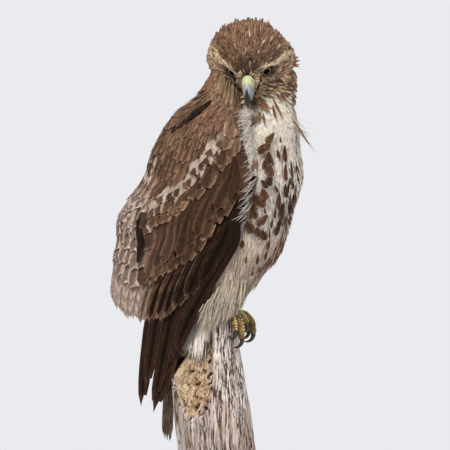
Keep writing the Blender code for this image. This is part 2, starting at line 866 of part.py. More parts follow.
def wing_vanes(side):
    """All the wing's vanes: primaries lowest, then secondaries, and coverts over them."""
    vanes = []
    uneven = random.Random(VANE_SEED + side)
    for i, (tip_angle, tip_z, root_angle) in enumerate(PRIMARIES):
        if side == -1:
            tip_angle = LEFT_PRIMARY_TIP_ANGLES[i]
        root = root_angle, PRIMARY_ROOT_Z, PRIMARY_ROOT_LIFT + PRIMARY_STEP * i
        tip = tip_angle, tip_z, PRIMARY_LIFT + PRIMARY_STEP * i
        vanes.append(wing_vane(side, root, tip, PRIMARY_HALF_WIDTH, PRIMARY_PROFILE, PRIMARY_BOW, 0))
    for i, (tip_angle, tip_z, root_angle) in enumerate(along_row(SECONDARY_TIPS, SECONDARY_COUNT)):
        step = ROW_STEP if i % 2 else -ROW_STEP
        root = root_angle, core_low(root_angle) + SECONDARY_ROOT_RISE, SECONDARY_ROOT_LIFT + step / 2
        tip = tip_angle, tip_z + uneven.uniform(-1, 1) * VANE_UNEVEN, SECONDARY_LIFT + step
        vanes.append(wing_vane(side, root, tip, SECONDARY_HALF_WIDTH, SECONDARY_PROFILE))
    for tips, count, length, level in COVERT_ROWS:
        for i, (angle, tip_z) in enumerate(along_row(tips, count)):
            step = ROW_STEP if i % 2 else -ROW_STEP
            root_z = tip_z + length
            root = angle - COVERT_LEAN, root_z, core_lift(angle, root_z) - COVERT_ROOT_DEPTH
            tip = angle, tip_z + uneven.uniform(-1, 1) * VANE_UNEVEN, level + step
            vanes.append(wing_vane(side, root, tip, COVERT_HALF_WIDTH, COVERT_PROFILE))
    return vanes


def make_wing(side, name, neighbours):
    wing = make_wing_core(side, name)
    for other in neighbours:
        cut(wing, grown(other, WING_CLEARANCE))
    join(wing, wing_vanes(side))
    return keep_largest(wing)


def make_leg(side, name, torso):
    foot_forward, foot_right = FOOT_PLACES["right" if side == 1 else "left"]
    rings = []
    for height, share, half_depth, half_width in LEG:
        forward = foot_forward + (THIGH_PLACE[0] - foot_forward) * share
        right = foot_right + (side * THIGH_PLACE[1] - foot_right) * share
        rings.append(level_ring(height, forward, right, half_depth, half_width, LEG_SIDES))
    leg = loft(name, rings)
    cut(leg, grown(torso, GAP))
    return keep_largest(leg)


def perch_centre(height):
    x, y, radius = smooth(PERCH, height)
    return Vector((x, y, height)), radius


def perch_radius(angle, height):
    """The trunk's radius: long ribs and hollows of weathered wood."""
    radius = smooth(PERCH, height)[2]
    ribs = noise.noise(Vector((math.cos(angle) * 2.2, math.sin(angle) * 2.2, height * 0.006)))
    fine = noise.noise(Vector((math.cos(angle) * 6, math.sin(angle) * 6, height * 0.02 + 5)))
    return radius * (1 + 0.05 * ribs + 0.02 * fine)


def make_perch(feet):
    heights = [30, 50, 70, 90, 108, 124, 140, 156, 170, 180, PERCH_TOP_Z]
    rings = []
    for height in heights:
        centre = perch_centre(height)[0]
        ring = []
        for k in range(PERCH_SIDES):
            a = 2 * math.pi * k / PERCH_SIDES
            out = Vector((math.cos(a), math.sin(a), 0))
            ring.append(centre + out * perch_radius(a, height))
        rings.append(ring)
    perch = loft("perch", rings)
    normal = BREAK_NORMAL.normalized()
    along = normal.cross(UP).normalized()
    side = Vector((-1, 0, 0))
    axes = along, normal.cross(along), normal
    breakage = slab("break", BREAK_EDGE + normal * 100, axes, (400, 400, 200))
    axes = side, Vector((0, 1, 0)), UP
    keep = slab("keep", Vector((BREAK_SIDE_X + 200, 0, 150)), axes, (400, 400, 400))
    cut(breakage, keep)
    cut(perch, breakage)
    normal = SLOPE_NORMAL.normalized()
    depth = Vector((0, 1, 0))
    axes = depth, normal.cross(depth), normal
    cut(perch, slab("slope", SLOPE_EDGE + normal * 100, axes, (400, 400, 200)))
    for other in feet:
        cut(perch, grown(other, GAP))
    return keep_largest(perch)


def toe_path(start, direction, length, radius, steps):
    """Flat along the top of the perch as far as its rim, then bending down outside it."""
    points = [start]
    step = length / steps
    turn = 0.0
    for _ in range(steps):
        here = points[-1]
        centre, rim = perch_centre(min(here.z, PERCH_TOP_Z))
        if Vector((here.x - centre.x, here.y - centre.y)).length > rim - TOE_BEND_BEFORE_RIM:
            turn = min(turn + step / TOE_BEND_RADIUS, TOE_MOST_TURN)
        points.append(here + (direction * math.cos(turn) - UP * math.sin(turn)) * step)
    return points


def make_foot(side, word):
    """Sole and four toes in one node, and a talon for each toe."""
    forward, right = FOOT_PLACES[word]
    centre = body_point(forward, right, PERCH_TOP_Z + FOOT_THICKNESS)
    sole = ellipsoid("foot_" + word, centre, (FORWARD, RIGHT, UP), (9.5, 8, 5.2), 6, 12)
    top = LEG[0][0] - GAP
    shank = tube("shank", [centre, centre + UP * 4, Vector((centre.x, centre.y, top))], [6.6, 6.4, 6.2], 10)
    toes = []
    talons = []
    for toe in TOE_NAMES:
        turn, length, radius, talon_length = TOES[toe]
        bearing = math.radians(turn)
        direction = FORWARD * math.cos(bearing) - RIGHT * side * math.sin(bearing)
        start = centre + direction * 3 + UP * (radius - 4.8)
        steps = 6
        path = toe_path(start, direction, length, radius, steps)
        radii = []
        for i in range(steps + 1):
            joint = 1 + TOE_JOINT_SWELL * math.cos(i * math.pi)
            radii.append(radius * (1 - TOE_TAPER * i / steps) * joint)
        toes.append(tube("toe", path, radii, 7, start_reach=3))
        talons.append(make_talon("talon_" + word + "_" + toe, path, radii[-1], direction, talon_length))
    join(sole, toes + [shank])
    return [keep_largest(sole)] + talons


def make_talon(name, path, radius, direction, length):
    """A claw that curls back under its toe."""
    heading = (path[-1] - path[-2]).normalized()
    start = path[-1] + heading * GAP
    inward = -direction
    curl = TALON_TURN
    steps = 5
    start += heading * radius * math.sin(curl / steps / 2)
    if heading.z > -0.5:
        start += heading * radius * math.sin(HALLUX_TALON_RISE)
        heading = (heading + UP * math.tan(HALLUX_TALON_RISE)).normalized()
        inward = heading.cross(UP).cross(heading).normalized() * -1
        curl = HALLUX_TALON_TURN
    points = [start]
    for i in range(steps):
        turn = curl * (i + 0.5) / steps
        way = heading * math.cos(turn) + inward * math.sin(turn)
        points.append(points[-1] + way * length / steps)
    radii = [radius * 0.72 * (1 - (i / steps)) ** 0.75 + 0.35 for i in range(steps + 1)]
    return tube(name, points, radii, 7, end_reach=0.8)


def tail_axes():
    """Root, tip, and the directions along the tail, across it to the right, and out of its back."""
    root = body_point(TAIL_ROOT[0], 0, TAIL_ROOT[1])
    tip = body_point(TAIL_TIP[0], 0, TAIL_TIP[1])
    along = (tip - root).normalized()
    across = RIGHT * math.cos(TAIL_TWIST) + FORWARD * math.sin(TAIL_TWIST)
    across = (across - along * across.dot(along)).normalized()
    return root, tip, along, across, across.cross(along)


def make_tail(torso):
    """The folded tail: a root in the body, and vanes that overlap from the middle one out."""
    root, tip, along, across, dorsal = tail_axes()
    length = (tip - root).length
    rings = []
    for share, half_width, half_depth in TAIL_ROOT_SECTIONS:
        centre = root + along * length * share
        ring = []
        for k in range(12):
            a = 2 * math.pi * k / 12
            ring.append(centre + across * half_width * math.cos(a) + dorsal * half_depth * math.sin(a))
        rings.append(ring)
    tail = loft("tail", rings)
    cut(tail, grown(torso, GAP))
    vanes = []
    for offset, half_width, lift, end in TAIL_VANES:
        middles = []
        for share, _ in TAIL_PROFILE:
            reach = length * (TAIL_VANE_START + (1 - TAIL_VANE_START) * share) + end * share
            aside = offset * (TAIL_ROOT_SPREAD + (1 - TAIL_ROOT_SPREAD) * min(share / 0.6, 1))
            middles.append(root + along * reach + across * aside + dorsal * lift * min(0.45 + share, 1))
        half_widths = [half_width * width_share for _, width_share in TAIL_PROFILE]
        vanes.append(vane("tail_vane", middles, [(across, dorsal)] * len(middles), half_widths))
    join(tail, vanes)
    return keep_largest(tail)


def broken_face_y(x, height):
    """How far back the broken face of the wood lies."""
    reach = BREAK_NORMAL.x * (x - BREAK_EDGE.x) + BREAK_NORMAL.z * (height - BREAK_EDGE.z)
    return BREAK_EDGE.y - reach / BREAK_NORMAL.y


def make_undertail(neighbours):
    """White locks that hang from the vent over the broken wood."""
    locks = []
    steps = 4
    for number, (tip_x, tip_z) in enumerate(UNDERTAIL_TIPS):
        root_x = -18 + (tip_x + 20) * 0.45
        path = []
        for i in range(steps + 1):
            s = i / steps
            x = root_x + (tip_x - root_x) * s
            height = UNDERTAIL_TOP_Z + (tip_z - UNDERTAIL_TOP_Z) * s
            stand_off = UNDERTAIL_STAND_OFF + 1.2 * (number % 2)
            path.append(Vector((x, broken_face_y(x, height) - stand_off, height)))
        radii = [6.5, 7, 6.4, 4.6, 1.4]
        locks.append(tube("undertail_coverts", path, radii, 6, start_reach=2, end_reach=2))
    coverts = join(locks[0], locks[1:])
    for other in neighbours:
        cut(coverts, grown(other, GAP))
    return keep_largest(coverts)


def make_stand():
    base = bmesh.new()
    bmesh.ops.create_cone(
        base,
        cap_ends=True,
        segments=48,
        radius1=BASE_RADIUS * MM,
        radius2=BASE_RADIUS * MM,
        depth=BASE_HEIGHT * MM,
        matrix=Matrix.Translation((0, 0, BASE_HEIGHT * MM / 2)),
    )
    mesh = bpy.data.meshes.new("stand_base")
    base.to_mesh(mesh)
    base.free()
    thing = bpy.data.objects.new("stand_base", mesh)
    bpy.context.scene.collection.objects.link(thing)
    edge = thing.modifiers.new("edge", "BEVEL")
    edge.width = 1.5 * MM
    edge.segments = 1
    rod_low = BASE_HEIGHT + GAP
    rod_high = PERCH[0][0] - GAP
    for number, x in enumerate(ROD_PLACES, 1):
        rod = bmesh.new()
        bmesh.ops.create_cone(
            rod,
            cap_ends=True,
            segments=16,
            radius1=ROD_RADIUS * MM,
            radius2=ROD_RADIUS * MM,
            depth=(rod_high - rod_low) * MM,
            matrix=Matrix.Translation((x * MM, PERCH[0][2] * MM, (rod_low + rod_high) * MM / 2)),
        )
        name = "stand_rod_" + str(number)
        mesh = bpy.data.meshes.new(name)
        rod.to_mesh(mesh)
        rod.free()
        thing = bpy.data.objects.new(name, mesh)
        bpy.context.scene.collection.objects.link(thing)


def finish_look():
    """Gives each object its own material, and puts them all in the model's collection."""
    model = bpy.data.collections.new("red_tailed_hawk")
    bpy.context.scene.collection.children.link(model)
    for thing in list(bpy.context.scene.collection.objects):
        bpy.context.scene.collection.objects.unlink(thing)
        model.objects.link(thing)
        kind = thing.name.split("_")[0]
        colour, roughness = LOOKS[kind]
        material = bpy.data.materials.new(thing.name)
        material.use_nodes = True
        surface = material.node_tree.nodes["Principled BSDF"]
        surface.inputs["Base Color"].default_value = (*colour, 1)
        surface.inputs["Roughness"].default_value = roughness
        surface.inputs["Metallic"].default_value = 0
        thing.data.materials.clear()
        thing.data.materials.append(material)
        thing.data.shade_smooth()
        thing.data.set_sharp_from_angle(angle=math.radians(40))


def main():
    clear_scene()
    flesh = make_flesh()
    for piece in make_bill():
        for name in ("head", "neck"):
            cut(flesh[name], grown(piece, GAP))
    tail = make_tail(flesh["torso"])
    feet = []
    legs = []
    for side, word in ((1, "right"), (-1, "left")):
        eyeball("eye_" + word, side, EYE_RADIUS)
        leg = make_leg(side, "leg_" + word, flesh["torso"])
        legs.append(leg)
        make_wing(side, "wing_" + word, (flesh["torso"], flesh["neck"], leg, tail))
        feet += make_foot(side, word)
    perch = make_perch(feet)
    make_undertail([flesh["torso"], perch] + legs + feet)
    make_stand()
    finish_look()


main()
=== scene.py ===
"""Looks of the life-size immature red-tailed hawk on its broken trunk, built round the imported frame.

Numbers are millimetres and degrees until new_piece() turns them into metres, except for the camera, the
floor and the lamps, which stand in metres. The bird's own directions are
FORWARD, RIGHT and UP. One skin replaces the flesh, and every feather is a thin closed mesh rooted on it.
"""

import json
import math
from collections import namedtuple

import bpy
import numpy as np
from mathutils import Matrix, Vector, kdtree, noise
from mathutils.bvhtree import BVHTree

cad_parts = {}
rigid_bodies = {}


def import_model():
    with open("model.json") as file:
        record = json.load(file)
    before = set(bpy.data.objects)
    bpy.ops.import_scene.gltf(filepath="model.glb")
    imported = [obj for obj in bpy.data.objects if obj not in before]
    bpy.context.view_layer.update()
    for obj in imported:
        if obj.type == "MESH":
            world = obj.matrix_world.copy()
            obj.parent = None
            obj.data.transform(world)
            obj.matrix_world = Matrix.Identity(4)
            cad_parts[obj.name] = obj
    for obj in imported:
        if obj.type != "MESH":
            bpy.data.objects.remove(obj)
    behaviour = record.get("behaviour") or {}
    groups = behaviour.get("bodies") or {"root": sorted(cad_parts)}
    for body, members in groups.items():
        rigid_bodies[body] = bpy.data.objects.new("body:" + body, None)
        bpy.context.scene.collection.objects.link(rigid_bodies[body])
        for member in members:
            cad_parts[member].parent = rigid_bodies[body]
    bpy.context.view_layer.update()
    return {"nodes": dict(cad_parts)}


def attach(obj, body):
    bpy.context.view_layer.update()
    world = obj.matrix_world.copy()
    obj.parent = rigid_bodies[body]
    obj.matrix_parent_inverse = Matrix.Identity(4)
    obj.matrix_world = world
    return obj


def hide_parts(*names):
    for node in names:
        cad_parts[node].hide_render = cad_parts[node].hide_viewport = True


MM = 0.001
UP = np.array((0.0, 0.0, 1.0))
BODY_YAW = math.radians(22)
FORWARD = np.array((math.cos(BODY_YAW), -math.sin(BODY_YAW), 0.0))
RIGHT = np.array((-math.sin(BODY_YAW), -math.cos(BODY_YAW), 0.0))

# Torso and neck: height, forward, right, half depth, half width
TRUNK = (
    (192, -24, 0, 11, 9),
    (196, -18, 0, 26, 20),
    (204, -12, 0, 41, 33),
    (216, -8, 0, 53, 42),
    (237, -3, 0, 65, 51),
    (256, 3.1, 0, 74, 57),
    (276, 7, 0, 77.6, 61),
    (303, 11.3, 0, 78.3, 64),
    (333, 18.7, 0, 80.3, 65),
    (366, 23.1, 0, 77.2, 62),
    (393, 29, 0, 70.6, 56),
    (410, 34.4, -3, 61, 46.5),
    (424, 38.9, -5, 54, 40),
    (437, 41.5, -6, 51, 36),
    (450, 43.5, -5, 49, 34),
    (465, 45, -2, 43, 30),
    (476, 46, 1, 33, 23),
)
WING_BED = ((200, 0), (236, 7), (270, 10), (330, 10), (385, 7), (404, 0))
WING_BED_SHARE = ((44, 0), (57, 0.9), (68, 1), (140, 1), (165, 0))

# Head, in its own frame: forward along the bill, right and up
HEAD_CENTRE = np.array((38.9, -36.0, 461.8))
HEAD_YAW = math.radians(7)
HEAD_PITCH = math.radians(40)
HEAD_ROLL = math.radians(2)
HEAD_SECTIONS = (
    (-52, 22, -4, 14, -17),
    (-46, 38, -6, 26, -30),
    (-36, 48, -8, 34, -38),
    (-24, 51, -9, 37.5, -41),
    (-12, 49, -8, 37.5, -39),
    (0, 43, -6, 36, -35),
    (10, 34.5, -4, 32.5, -30),
    (20, 24, -2, 27.5, -24),
    (28, 15.8, -1.5, 21.5, -19),
    (33, 12, -1, 17, -16),
    (37, 9.2, -1, 12.5, -13.5),
)
HEAD_NARROWING = 0.2
HEAD_SIDE_SHIFT = 0.12
EYE_RADIUS = 10.4
# Ball over an eye and its lids, on which the face's single feathers lie
LID_BALL = 11.5
EYE_PLACE = (16.6, 15, 5.8)
# Rim and shell of the lids: angle out from their opening, and radius round the eye's centre
LID_SHELL = ((0, 9.9), (0, 10.75), (2.5, 11.3), (7, 11.35), (14, 11.0), (24, 10.6), (38, 9.8), (40, 9.0))
# Outward and upward turn of each eye, in degrees
GAZE = {1: (20, 6), -1: (29, 0)}
BROW_PLACE = (21.5, 20.5, 15.6)
BROW_LIE = (-0.70, 0.68, 0.22)
BROW_SIZE = (13.5, 4.2, 2.9)
BILL_NARROWING = 0.84
NOSTRIL_PLACE = (43, 7.6, 4.2)
CERE_SECTIONS = (
    (0, 37.3, 11.0, 37.3, -3.2, 8.4),
    (0.5, 42.0, 11.2, 42.4, -4.0, 7.9),
    (1, 47.2, 8.3, 47.6, -5.0, 7.0),
)
UPPER_BILL_SECTIONS = (
    (0, 47.3, 8.1, 47.7, -5.1, 6.9),
    (0.27, 52.5, 4.8, 52.0, -6.2, 5.7),
    (0.52, 57.0, -0.4, 56.0, -7.8, 4.3),
    (0.76, 60.4, -6.4, 58.2, -10.4, 2.8),
    (0.92, 61.9, -11.6, 60.0, -13.2, 1.5),
    (1, 61.7, -16.0, 61.3, -16.4, 0.3),
)
LOWER_BILL_SECTIONS = (
    (0, 37.3, -4.2, 37.3, -12.2, 7.4),
    (0.5, 46.0, -6.0, 45.0, -12.6, 6.2),
    (0.85, 52.0, -7.6, 52.0, -11.8, 4.2),
    (1, 55.2, -9.2, 55.2, -10.2, 1.0),
)

# Wing envelope: height, forward, half depth, half width, taper to the back
WING_ENVELOPE = (
    (62, -72, 20, 21, 0.15),
    (80, -69.6, 24.1, 23, 0.2),
    (107, -62.8, 36.7, 26, 0.3),
    (150, -57.2, 54.3, 33, 0.38),
    (180, -53.5, 69.5, 42, 0.42),
    (205, -47.5, 82.5, 50, 0.42),
    (217, -43.5, 86.7, 54, 0.42),
    (243, -32.8, 93.8, 63, 0.34),
    (265, -21.8, 97.6, 70, 0.26),
    (287, -16.8, 101.1, 75, 0.18),
    (311, -5.9, 96.8, 77, 0.1),
    (333, 6.3, 90.3, 77, 0.05),
    (366, 14.1, 84.6, 74, 0),
    (393, 20.8, 76.8, 67, 0),
    (410, 26.4, 68.8, 57, 0),
    (424, 33.7, 57.6, 47, 0),
    (437, 38.5, 52, 40.5, 0),
    (450, 42, 48, 36, 0),
)
WING_CORE_EDGE = (
    (50, 322),
    (58, 311),
    (66, 292),
    (74, 270),
    (83, 256),
    (92, 248),
    (101, 246),
    (113, 258),
    (130, 264),
    (150, 270),
    (172, 282),
)
WING_CORE_RISE = ((0, -6.6), (20, -5.3), (45, -3.2), (75, -0.9), (110, -0.5), (200, -0.5))
WING_FRONT = ((240, 47), (311, 48), (366, 56), (410, 67), (422, 72), (436, 84), (450, 100))
SECONDARY_TIPS = (
    (53, 222, 48),
    (68, 198, 55),
    (84, 182, 62),
    (98, 173, 76),
    (117, 177, 96),
    (132, 181, 114),
    (148, 189, 134),
    (160, 203, 152),
)
GREATER_COVERT_TIPS = ((51, 307), (58, 297), (66, 276), (74, 249), (83, 236), (92, 228), (102, 214))
MEDIAN_COVERT_TIPS = ((62, 356), (70, 345), (80, 317), (88, 301), (96, 284), (106, 281))
ARC_TIPS = ((64, 374), (73, 360), (81.5, 347), (88, 330), (93.5, 320), (97, 305), (102, 296), (109, 289))
SCAPULAR_TIPS = ((112, 243), (124, 240), (137, 246), (150, 256), (159, 268))
PRIMARIES = (
    (75, 112, 52),
    (76, 91, 53),
    (81, 76, 55),
    (91, 88, 56),
    (125, 83, 57),
    (109, 103, 60),
)
# The foremost folded blade: height and angle
FRONT_BLADE = (
    (100, 73), (138, 64), (157, 61.5), (172, 58), (190, 54.5), (204, 52.5),
    (219, 50.5), (232, 48), (245, 46.5), (263, 46), (289, 50), (335, 57),
)
LEFT_PRIMARY_TIP_ANGLES = (75, 76, 78, 80, 82, 84)
PRIMARY_ROOT_Z = 334
PRIMARY_HALF = 8.6
# How high the shoulder's small feathers reach, by angle from the breast
COVERTS_TOP = ((66, 80, 110, 122), (413, 421, 438, 450))

LEG = (
    (196.4, 0, 10, 9.5),
    (205, 0.25, 14, 13),
    (220, 0.6, 20.5, 17.5),
    (240, 0.9, 24.5, 20.5),
    (262, 1, 24, 20),
)
THIGH_PLACE = (16, 25)
FOOT_PLACES = {"right": (20, 17.5), "left": (14, -15)}
FOOT_THICKNESS = 4.4
PERCH_TOP_Z = 182
TOES = {
    "hallux": (178, 21, 4.6, 24),
    "inner": (24, 28, 4.8, 24),
    "middle": (-4, 43, 4.8, 20),
    "outer": (-38, 33, 4.3, 18),
}
TALON_TURN = math.radians(105)
HALLUX_TALON_RISE = math.radians(24)
HALLUX_TALON_TURN = math.radians(82)
SOLE_RADII = (9.3, 7.8, 5.0)
SCUTE_RADII = (1.7, 1.0, 0.75)
SHANK_TOP_Z = 203
SHANK_RADIUS = 6.1
TOE_TAPER = 0.2
TOE_SHARE = 0.8
TOE_BEND_BEFORE_RIM = 2.5
TOE_BEND_RADIUS = 17
TOE_MOST_TURN = math.radians(84)

TAIL_ROOT = (-50, 206)
TAIL_TIP = (-57, 47)
TAIL_TWIST = math.radians(4)
TAIL_VANES = (
    (0, 8, 2.4, 2),
    (-6, 7, 1.2, 0),
    (6, 7, 1.2, 1),
    (-10.5, 6.5, 0, -3),
    (10.5, 6.5, 0, -1),
    (-14, 5.5, -1.2, -8),
    (14, 5.5, -1.2, -5),
)
UNDERTAIL_TIPS = ((-42, 151), (-37, 137), (-29, 147), (-20, 128), (-13, 147), (-9, 163))
UNDERTAIL_TOP_Z = 195

PERCH = (
    (30, 1, -2, 42.4),
    (75, -4, -2, 41.6),
    (107, -8, -2, 40.3),
    (126, -9.8, -2, 39.4),
    (153, -12.4, -2, 37.6),
    (168, -12, -2, 39),
    (182, -12.2, -2, 37.6),
)
PERCH_MIDDLE = np.array((8.0, 12.0))
BREAK_EDGE = np.array((-46, -2, 118.5))
BREAK_NORMAL = np.array((-0.536, -0.778, 0.328))
BREAK_SIDE_X = -3.5
SLOPE_EDGE = np.array((-47, -2, 117))
SLOPE_NORMAL = np.array((-0.832, 0, 0.555))

BREAST_MARK_WIDENING = 1.22
# Single marks as seen from the front: x and height of root and of tip, and half width
BREAST_MARKS = (
    (61.9, 383.7, 52.5, 370.3, 3.5), (55, 372.2, 46.2, 359.8, 3.7), (57.4, 375.8, 52.6, 362.8, 3.3),
    (67.4, 379.7, 66.8, 372.1, 1.2), (72, 370.6, 71, 350.4, 2.9), (72.9, 350.8, 71.2, 330.6, 2.8),
    (64.5, 366.2, 65.3, 354.8, 2.1), (56.1, 363.1, 56.1, 349.1, 4), (57.9, 348.7, 56.5, 334.9, 4.2),
    (52.3, 354.1, 53.3, 342.7, 3.3), (88, 359.6, 88, 348.2, 1), (77.9, 354.1, 78.3, 333.9, 1.7),
    (83.3, 349.4, 81.7, 340.8, 1.5), (92.2, 348.1, 90.4, 335.5, 1.2), (89.8, 342.5, 88.4, 323.5, 2.1),
    (88.8, 327, 86.1, 308.2, 2.1), (58.9, 336.8, 53.3, 327, 4), (49.2, 333, 54.2, 324.2, 2.9),
    (72.1, 331.9, 70.9, 314.3, 2.4), (61.6, 328.5, 63.8, 319.9, 1.5), (49.4, 324.5, 51.8, 310.7, 4.4),
    (40.5, 318.1, 47.5, 306.1, 4.4), (48.4, 314.5, 48.4, 303.1, 3.9), (66.3, 319.9, 63.5, 299.9, 3),
    (36.7, 309.6, 42.5, 297, 4), (33.9, 303.2, 38.7, 290.2, 3.7), (41.8, 300.7, 41.8, 290.5, 2.9),
    (71.3, 309.8, 65.1, 288, 3.3), (68.1, 293, 59.5, 271.8, 3.3), (50.6, 303.8, 50.6, 296.2, 1.3),
    (54, 295.4, 45, 284.8, 3.5), (46.8, 291.6, 43.4, 282, 2.6), (37.4, 292, 30.8, 288.2, 2.2),
    (71.1, 292.4, 65.3, 281.2, 1.1), (33.9, 287.3, 40.9, 275.3, 4), (43, 282.5, 45, 271.3, 3.3),
    (55.9, 282.1, 54.1, 269.5, 1.1), (48, 279.1, 51, 268.1, 3.5), (56, 269.7, 51.8, 257.7, 1.7),
    (53, 259.2, 49.3, 248.4, 1.4), (44.8, 254.8, 41, 244, 1.5), (32.5, 252, 31.3, 244.6, 1.1),
    (39.9, 241.3, 34.9, 231.1, 1.1), (30.5, 268.1, 28.9, 259.3, 2.2), (44, 241.6, 44, 235.2, 0.9),
    (79.9, 338.4, 78.5, 323.2, 2), (82.5, 324, 80.3, 309, 2.2), (79.5, 312.5, 76.7, 296.3, 2.4),
    (82.8, 304.6, 80, 291, 2), (76.9, 299.1, 72.7, 283.3, 2.4), (61.6, 302.9, 59.4, 290.5, 1.8),
    (58.7, 291.2, 55.7, 280.2, 1.5), (59.4, 356.8, 59.4, 346.6, 1.3), (76.6, 320.6, 75.2, 308, 1.5),
)
THROAT_MARKS = (
    (41.8, 421, 49.5, 412.2, 2.5), (45.1, 419.9, 52.8, 407.8, 2.6), (48.4, 418.8, 56.1, 404, 2.6),
    (51.7, 416.6, 55.6, 407.8, 1.8), (60, 422.1, 71, 396.8, 1.7), (60.5, 412.2, 63.3, 395.7, 1.4),
    (64.4, 426.5, 69.3, 417.7, 1.8), (68.2, 426, 74.2, 416.1, 1.9), (72.1, 427.6, 75.9, 421, 1.3),
    (51.2, 403.4, 52.3, 391.3, 1.4), (47.9, 405.1, 46.8, 396.8, 1.7), (36.3, 390.2, 48.4, 400.1, 2.4),
    (37.4, 394.6, 47.3, 401.8, 2),
)

# Sizes of one feather's patch on the unwrap
SMALL_PATCH = 0.003
BIG_PATCH = 0.03
# A piece with more triangles than this is made as several
MOST_TRIANGLES = 195000
# How deep the skin lies under the solids, and the size of its remesh in metres
TRUNK_COAT = 6.5
COAT = 4.5
SKIN_VOXEL = 0.0022


# Small mathematics


def curve(stations, keys):
    """The values at each key, on a smooth curve through stations that each begin with their key."""
    table = np.array(stations, float)
    x, y = table[:, 0], table[:, 1:]
    k = np.clip(np.asarray(keys, float), x[0], x[-1])
    i = np.clip(np.searchsorted(x, k, side="right") - 1, 0, len(x) - 2)
    span = (x[i + 1] - x[i])[..., None]
    t = (k - x[i])[..., None] / span
    order = np.arange(len(x))
    low, high = np.maximum(order - 1, 0), np.minimum(order + 1, len(x) - 1)
    slopes = (y[high] - y[low]) / (x[high] - x[low])[:, None]
    return (
        y[i] * (2 * t**3 - 3 * t**2 + 1)
        + y[i + 1] * (3 * t**2 - 2 * t**3)
        + slopes[i] * span * (t**3 - 2 * t**2 + t)
        + slopes[i + 1] * span * (t**3 - t**2)
    )


def step_up(low, high, value):
    """0 below low, 1 above high, and smooth between."""
    t = np.clip((value - low) / (high - low), 0, 1)
    return t * t * (3 - 2 * t)


def hump(centre, half, value):
    """1 at the centre, falling smoothly to 0 at half away."""
    return 1 - step_up(0, half, np.abs(value - centre))


def unit(vectors):
    return vectors / np.maximum(np.linalg.norm(vectors, axis=-1, keepdims=True), 1e-9)


def dot(a, b):
    return (a * b).sum(-1, keepdims=True)


def mix(a, b, share):
    """Colours a and b mixed, with a share for each row."""
    share = np.asarray(share)[..., None]
    return np.asarray(a) * (1 - share) + np.asarray(b) * share


def body_points(forward, right, height):
    forward, right, height = np.broadcast_arrays(forward, right, height)
    return forward[..., None] * FORWARD + right[..., None] * RIGHT + height[..., None] * UP


def body_parts(points):
    """Forward, right and height of points."""
    return points @ FORWARD, points @ RIGHT, points[..., 2]


def head_axes():
    forward = Vector(
        (
            -math.sin(HEAD_YAW) * math.cos(HEAD_PITCH),
            -math.cos(HEAD_YAW) * math.cos(HEAD_PITCH),
            -math.sin(HEAD_PITCH),
        )
    )
    right = Vector((-math.cos(HEAD_YAW), math.sin(HEAD_YAW), 0))
    right = Matrix.Rotation(HEAD_ROLL, 3, forward) @ right
    return np.array(forward), np.array(right), np.array(right.cross(forward))


HEAD_FORWARD, HEAD_RIGHT, HEAD_UP = head_axes()


def head_points(forward, right, up):
    forward, right, up = np.broadcast_arrays(forward, right, up)
    return (
        HEAD_CENTRE
        + np.asarray(forward, float)[..., None] * HEAD_FORWARD
        + np.asarray(right, float)[..., None] * HEAD_RIGHT
        + np.asarray(up, float)[..., None] * HEAD_UP
    )


def head_parts(points):
    """Forward, right and up of points in the head's frame."""
    offset = points - HEAD_CENTRE
    return offset @ HEAD_FORWARD, offset @ HEAD_RIGHT, offset @ HEAD_UP


def envelope(side, angle, height):
    rows = curve(WING_ENVELOPE, height)
    forward, half_depth, half_width, taper = np.moveaxis(rows, -1, 0)
    a = np.radians(angle)
    return body_points(
        forward + half_depth * np.cos(a),
        side * half_width * np.sin(a) * (1 + taper * np.cos(a)),
        height,
    )


def envelope_normal(side, angle, height):
    round_it = envelope(side, angle + 1, height) - envelope(side, angle - 1, height)
    up_it = envelope(side, angle, height + 2) - envelope(side, angle, height - 2)
    return unit(np.cross(round_it, up_it)) * -side


# Meshes


def new_piece(name, points, faces, material, replaces=(), attributes=None, sharp=None):
    """A piece from points in millimetres and arrays of faces, riding on the body."""
    mesh = bpy.data.meshes.new(name)
    mesh.vertices.add(len(points))
    mesh.vertices.foreach_set("co", (np.asarray(points) * MM).astype(np.float32).ravel())
    loops = np.concatenate([f.ravel() for f in faces]).astype(np.int32)
    sizes = np.concatenate([np.full(len(f), f.shape[1]) for f in faces])
    mesh.loops.add(len(loops))
    mesh.loops.foreach_set("vertex_index", loops)
    mesh.polygons.add(len(sizes))
    starts = np.concatenate([[0], np.cumsum(sizes)[:-1]]).astype(np.int32)
    mesh.polygons.foreach_set("loop_start", starts)
    mesh.update(calc_edges=True)
    mesh.polygons.foreach_set("use_smooth", np.ones(len(sizes), bool))
    for key, (kind, values) in (attributes or {}).items():
        layer = mesh.attributes.new(key, kind, "POINT")
        word = "color" if kind == "FLOAT_COLOR" else "vector" if kind == "FLOAT_VECTOR" else "value"
        layer.data.foreach_set(word, np.ascontiguousarray(values, np.float32).ravel())
    if sharp is not None:
        mesh.set_sharp_from_angle(angle=math.radians(sharp))
    thing = bpy.data.objects.new(name, mesh)
    bpy.context.scene.collection.objects.link(thing)
    mesh.materials.append(material)
    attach(thing, "root")
    if replaces:
        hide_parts(*replaces)
    return thing


def rgba(colours, alpha=None):
    alpha = np.ones(len(colours)) if alpha is None else alpha
    return np.concatenate([colours, alpha[:, None]], -1)


def grid_faces(rows, columns, closed_columns):
    """Quads of a grid of points, as indices."""
    i = np.arange(rows - 1)[:, None] * columns
    k = np.arange(columns if closed_columns else columns - 1)[None, :]
    n = (k + 1) % columns
    corners = np.broadcast_arrays(i + k, i + n, i + columns + n, i + columns + k)
    return np.stack(corners, -1).reshape(-1, 4)


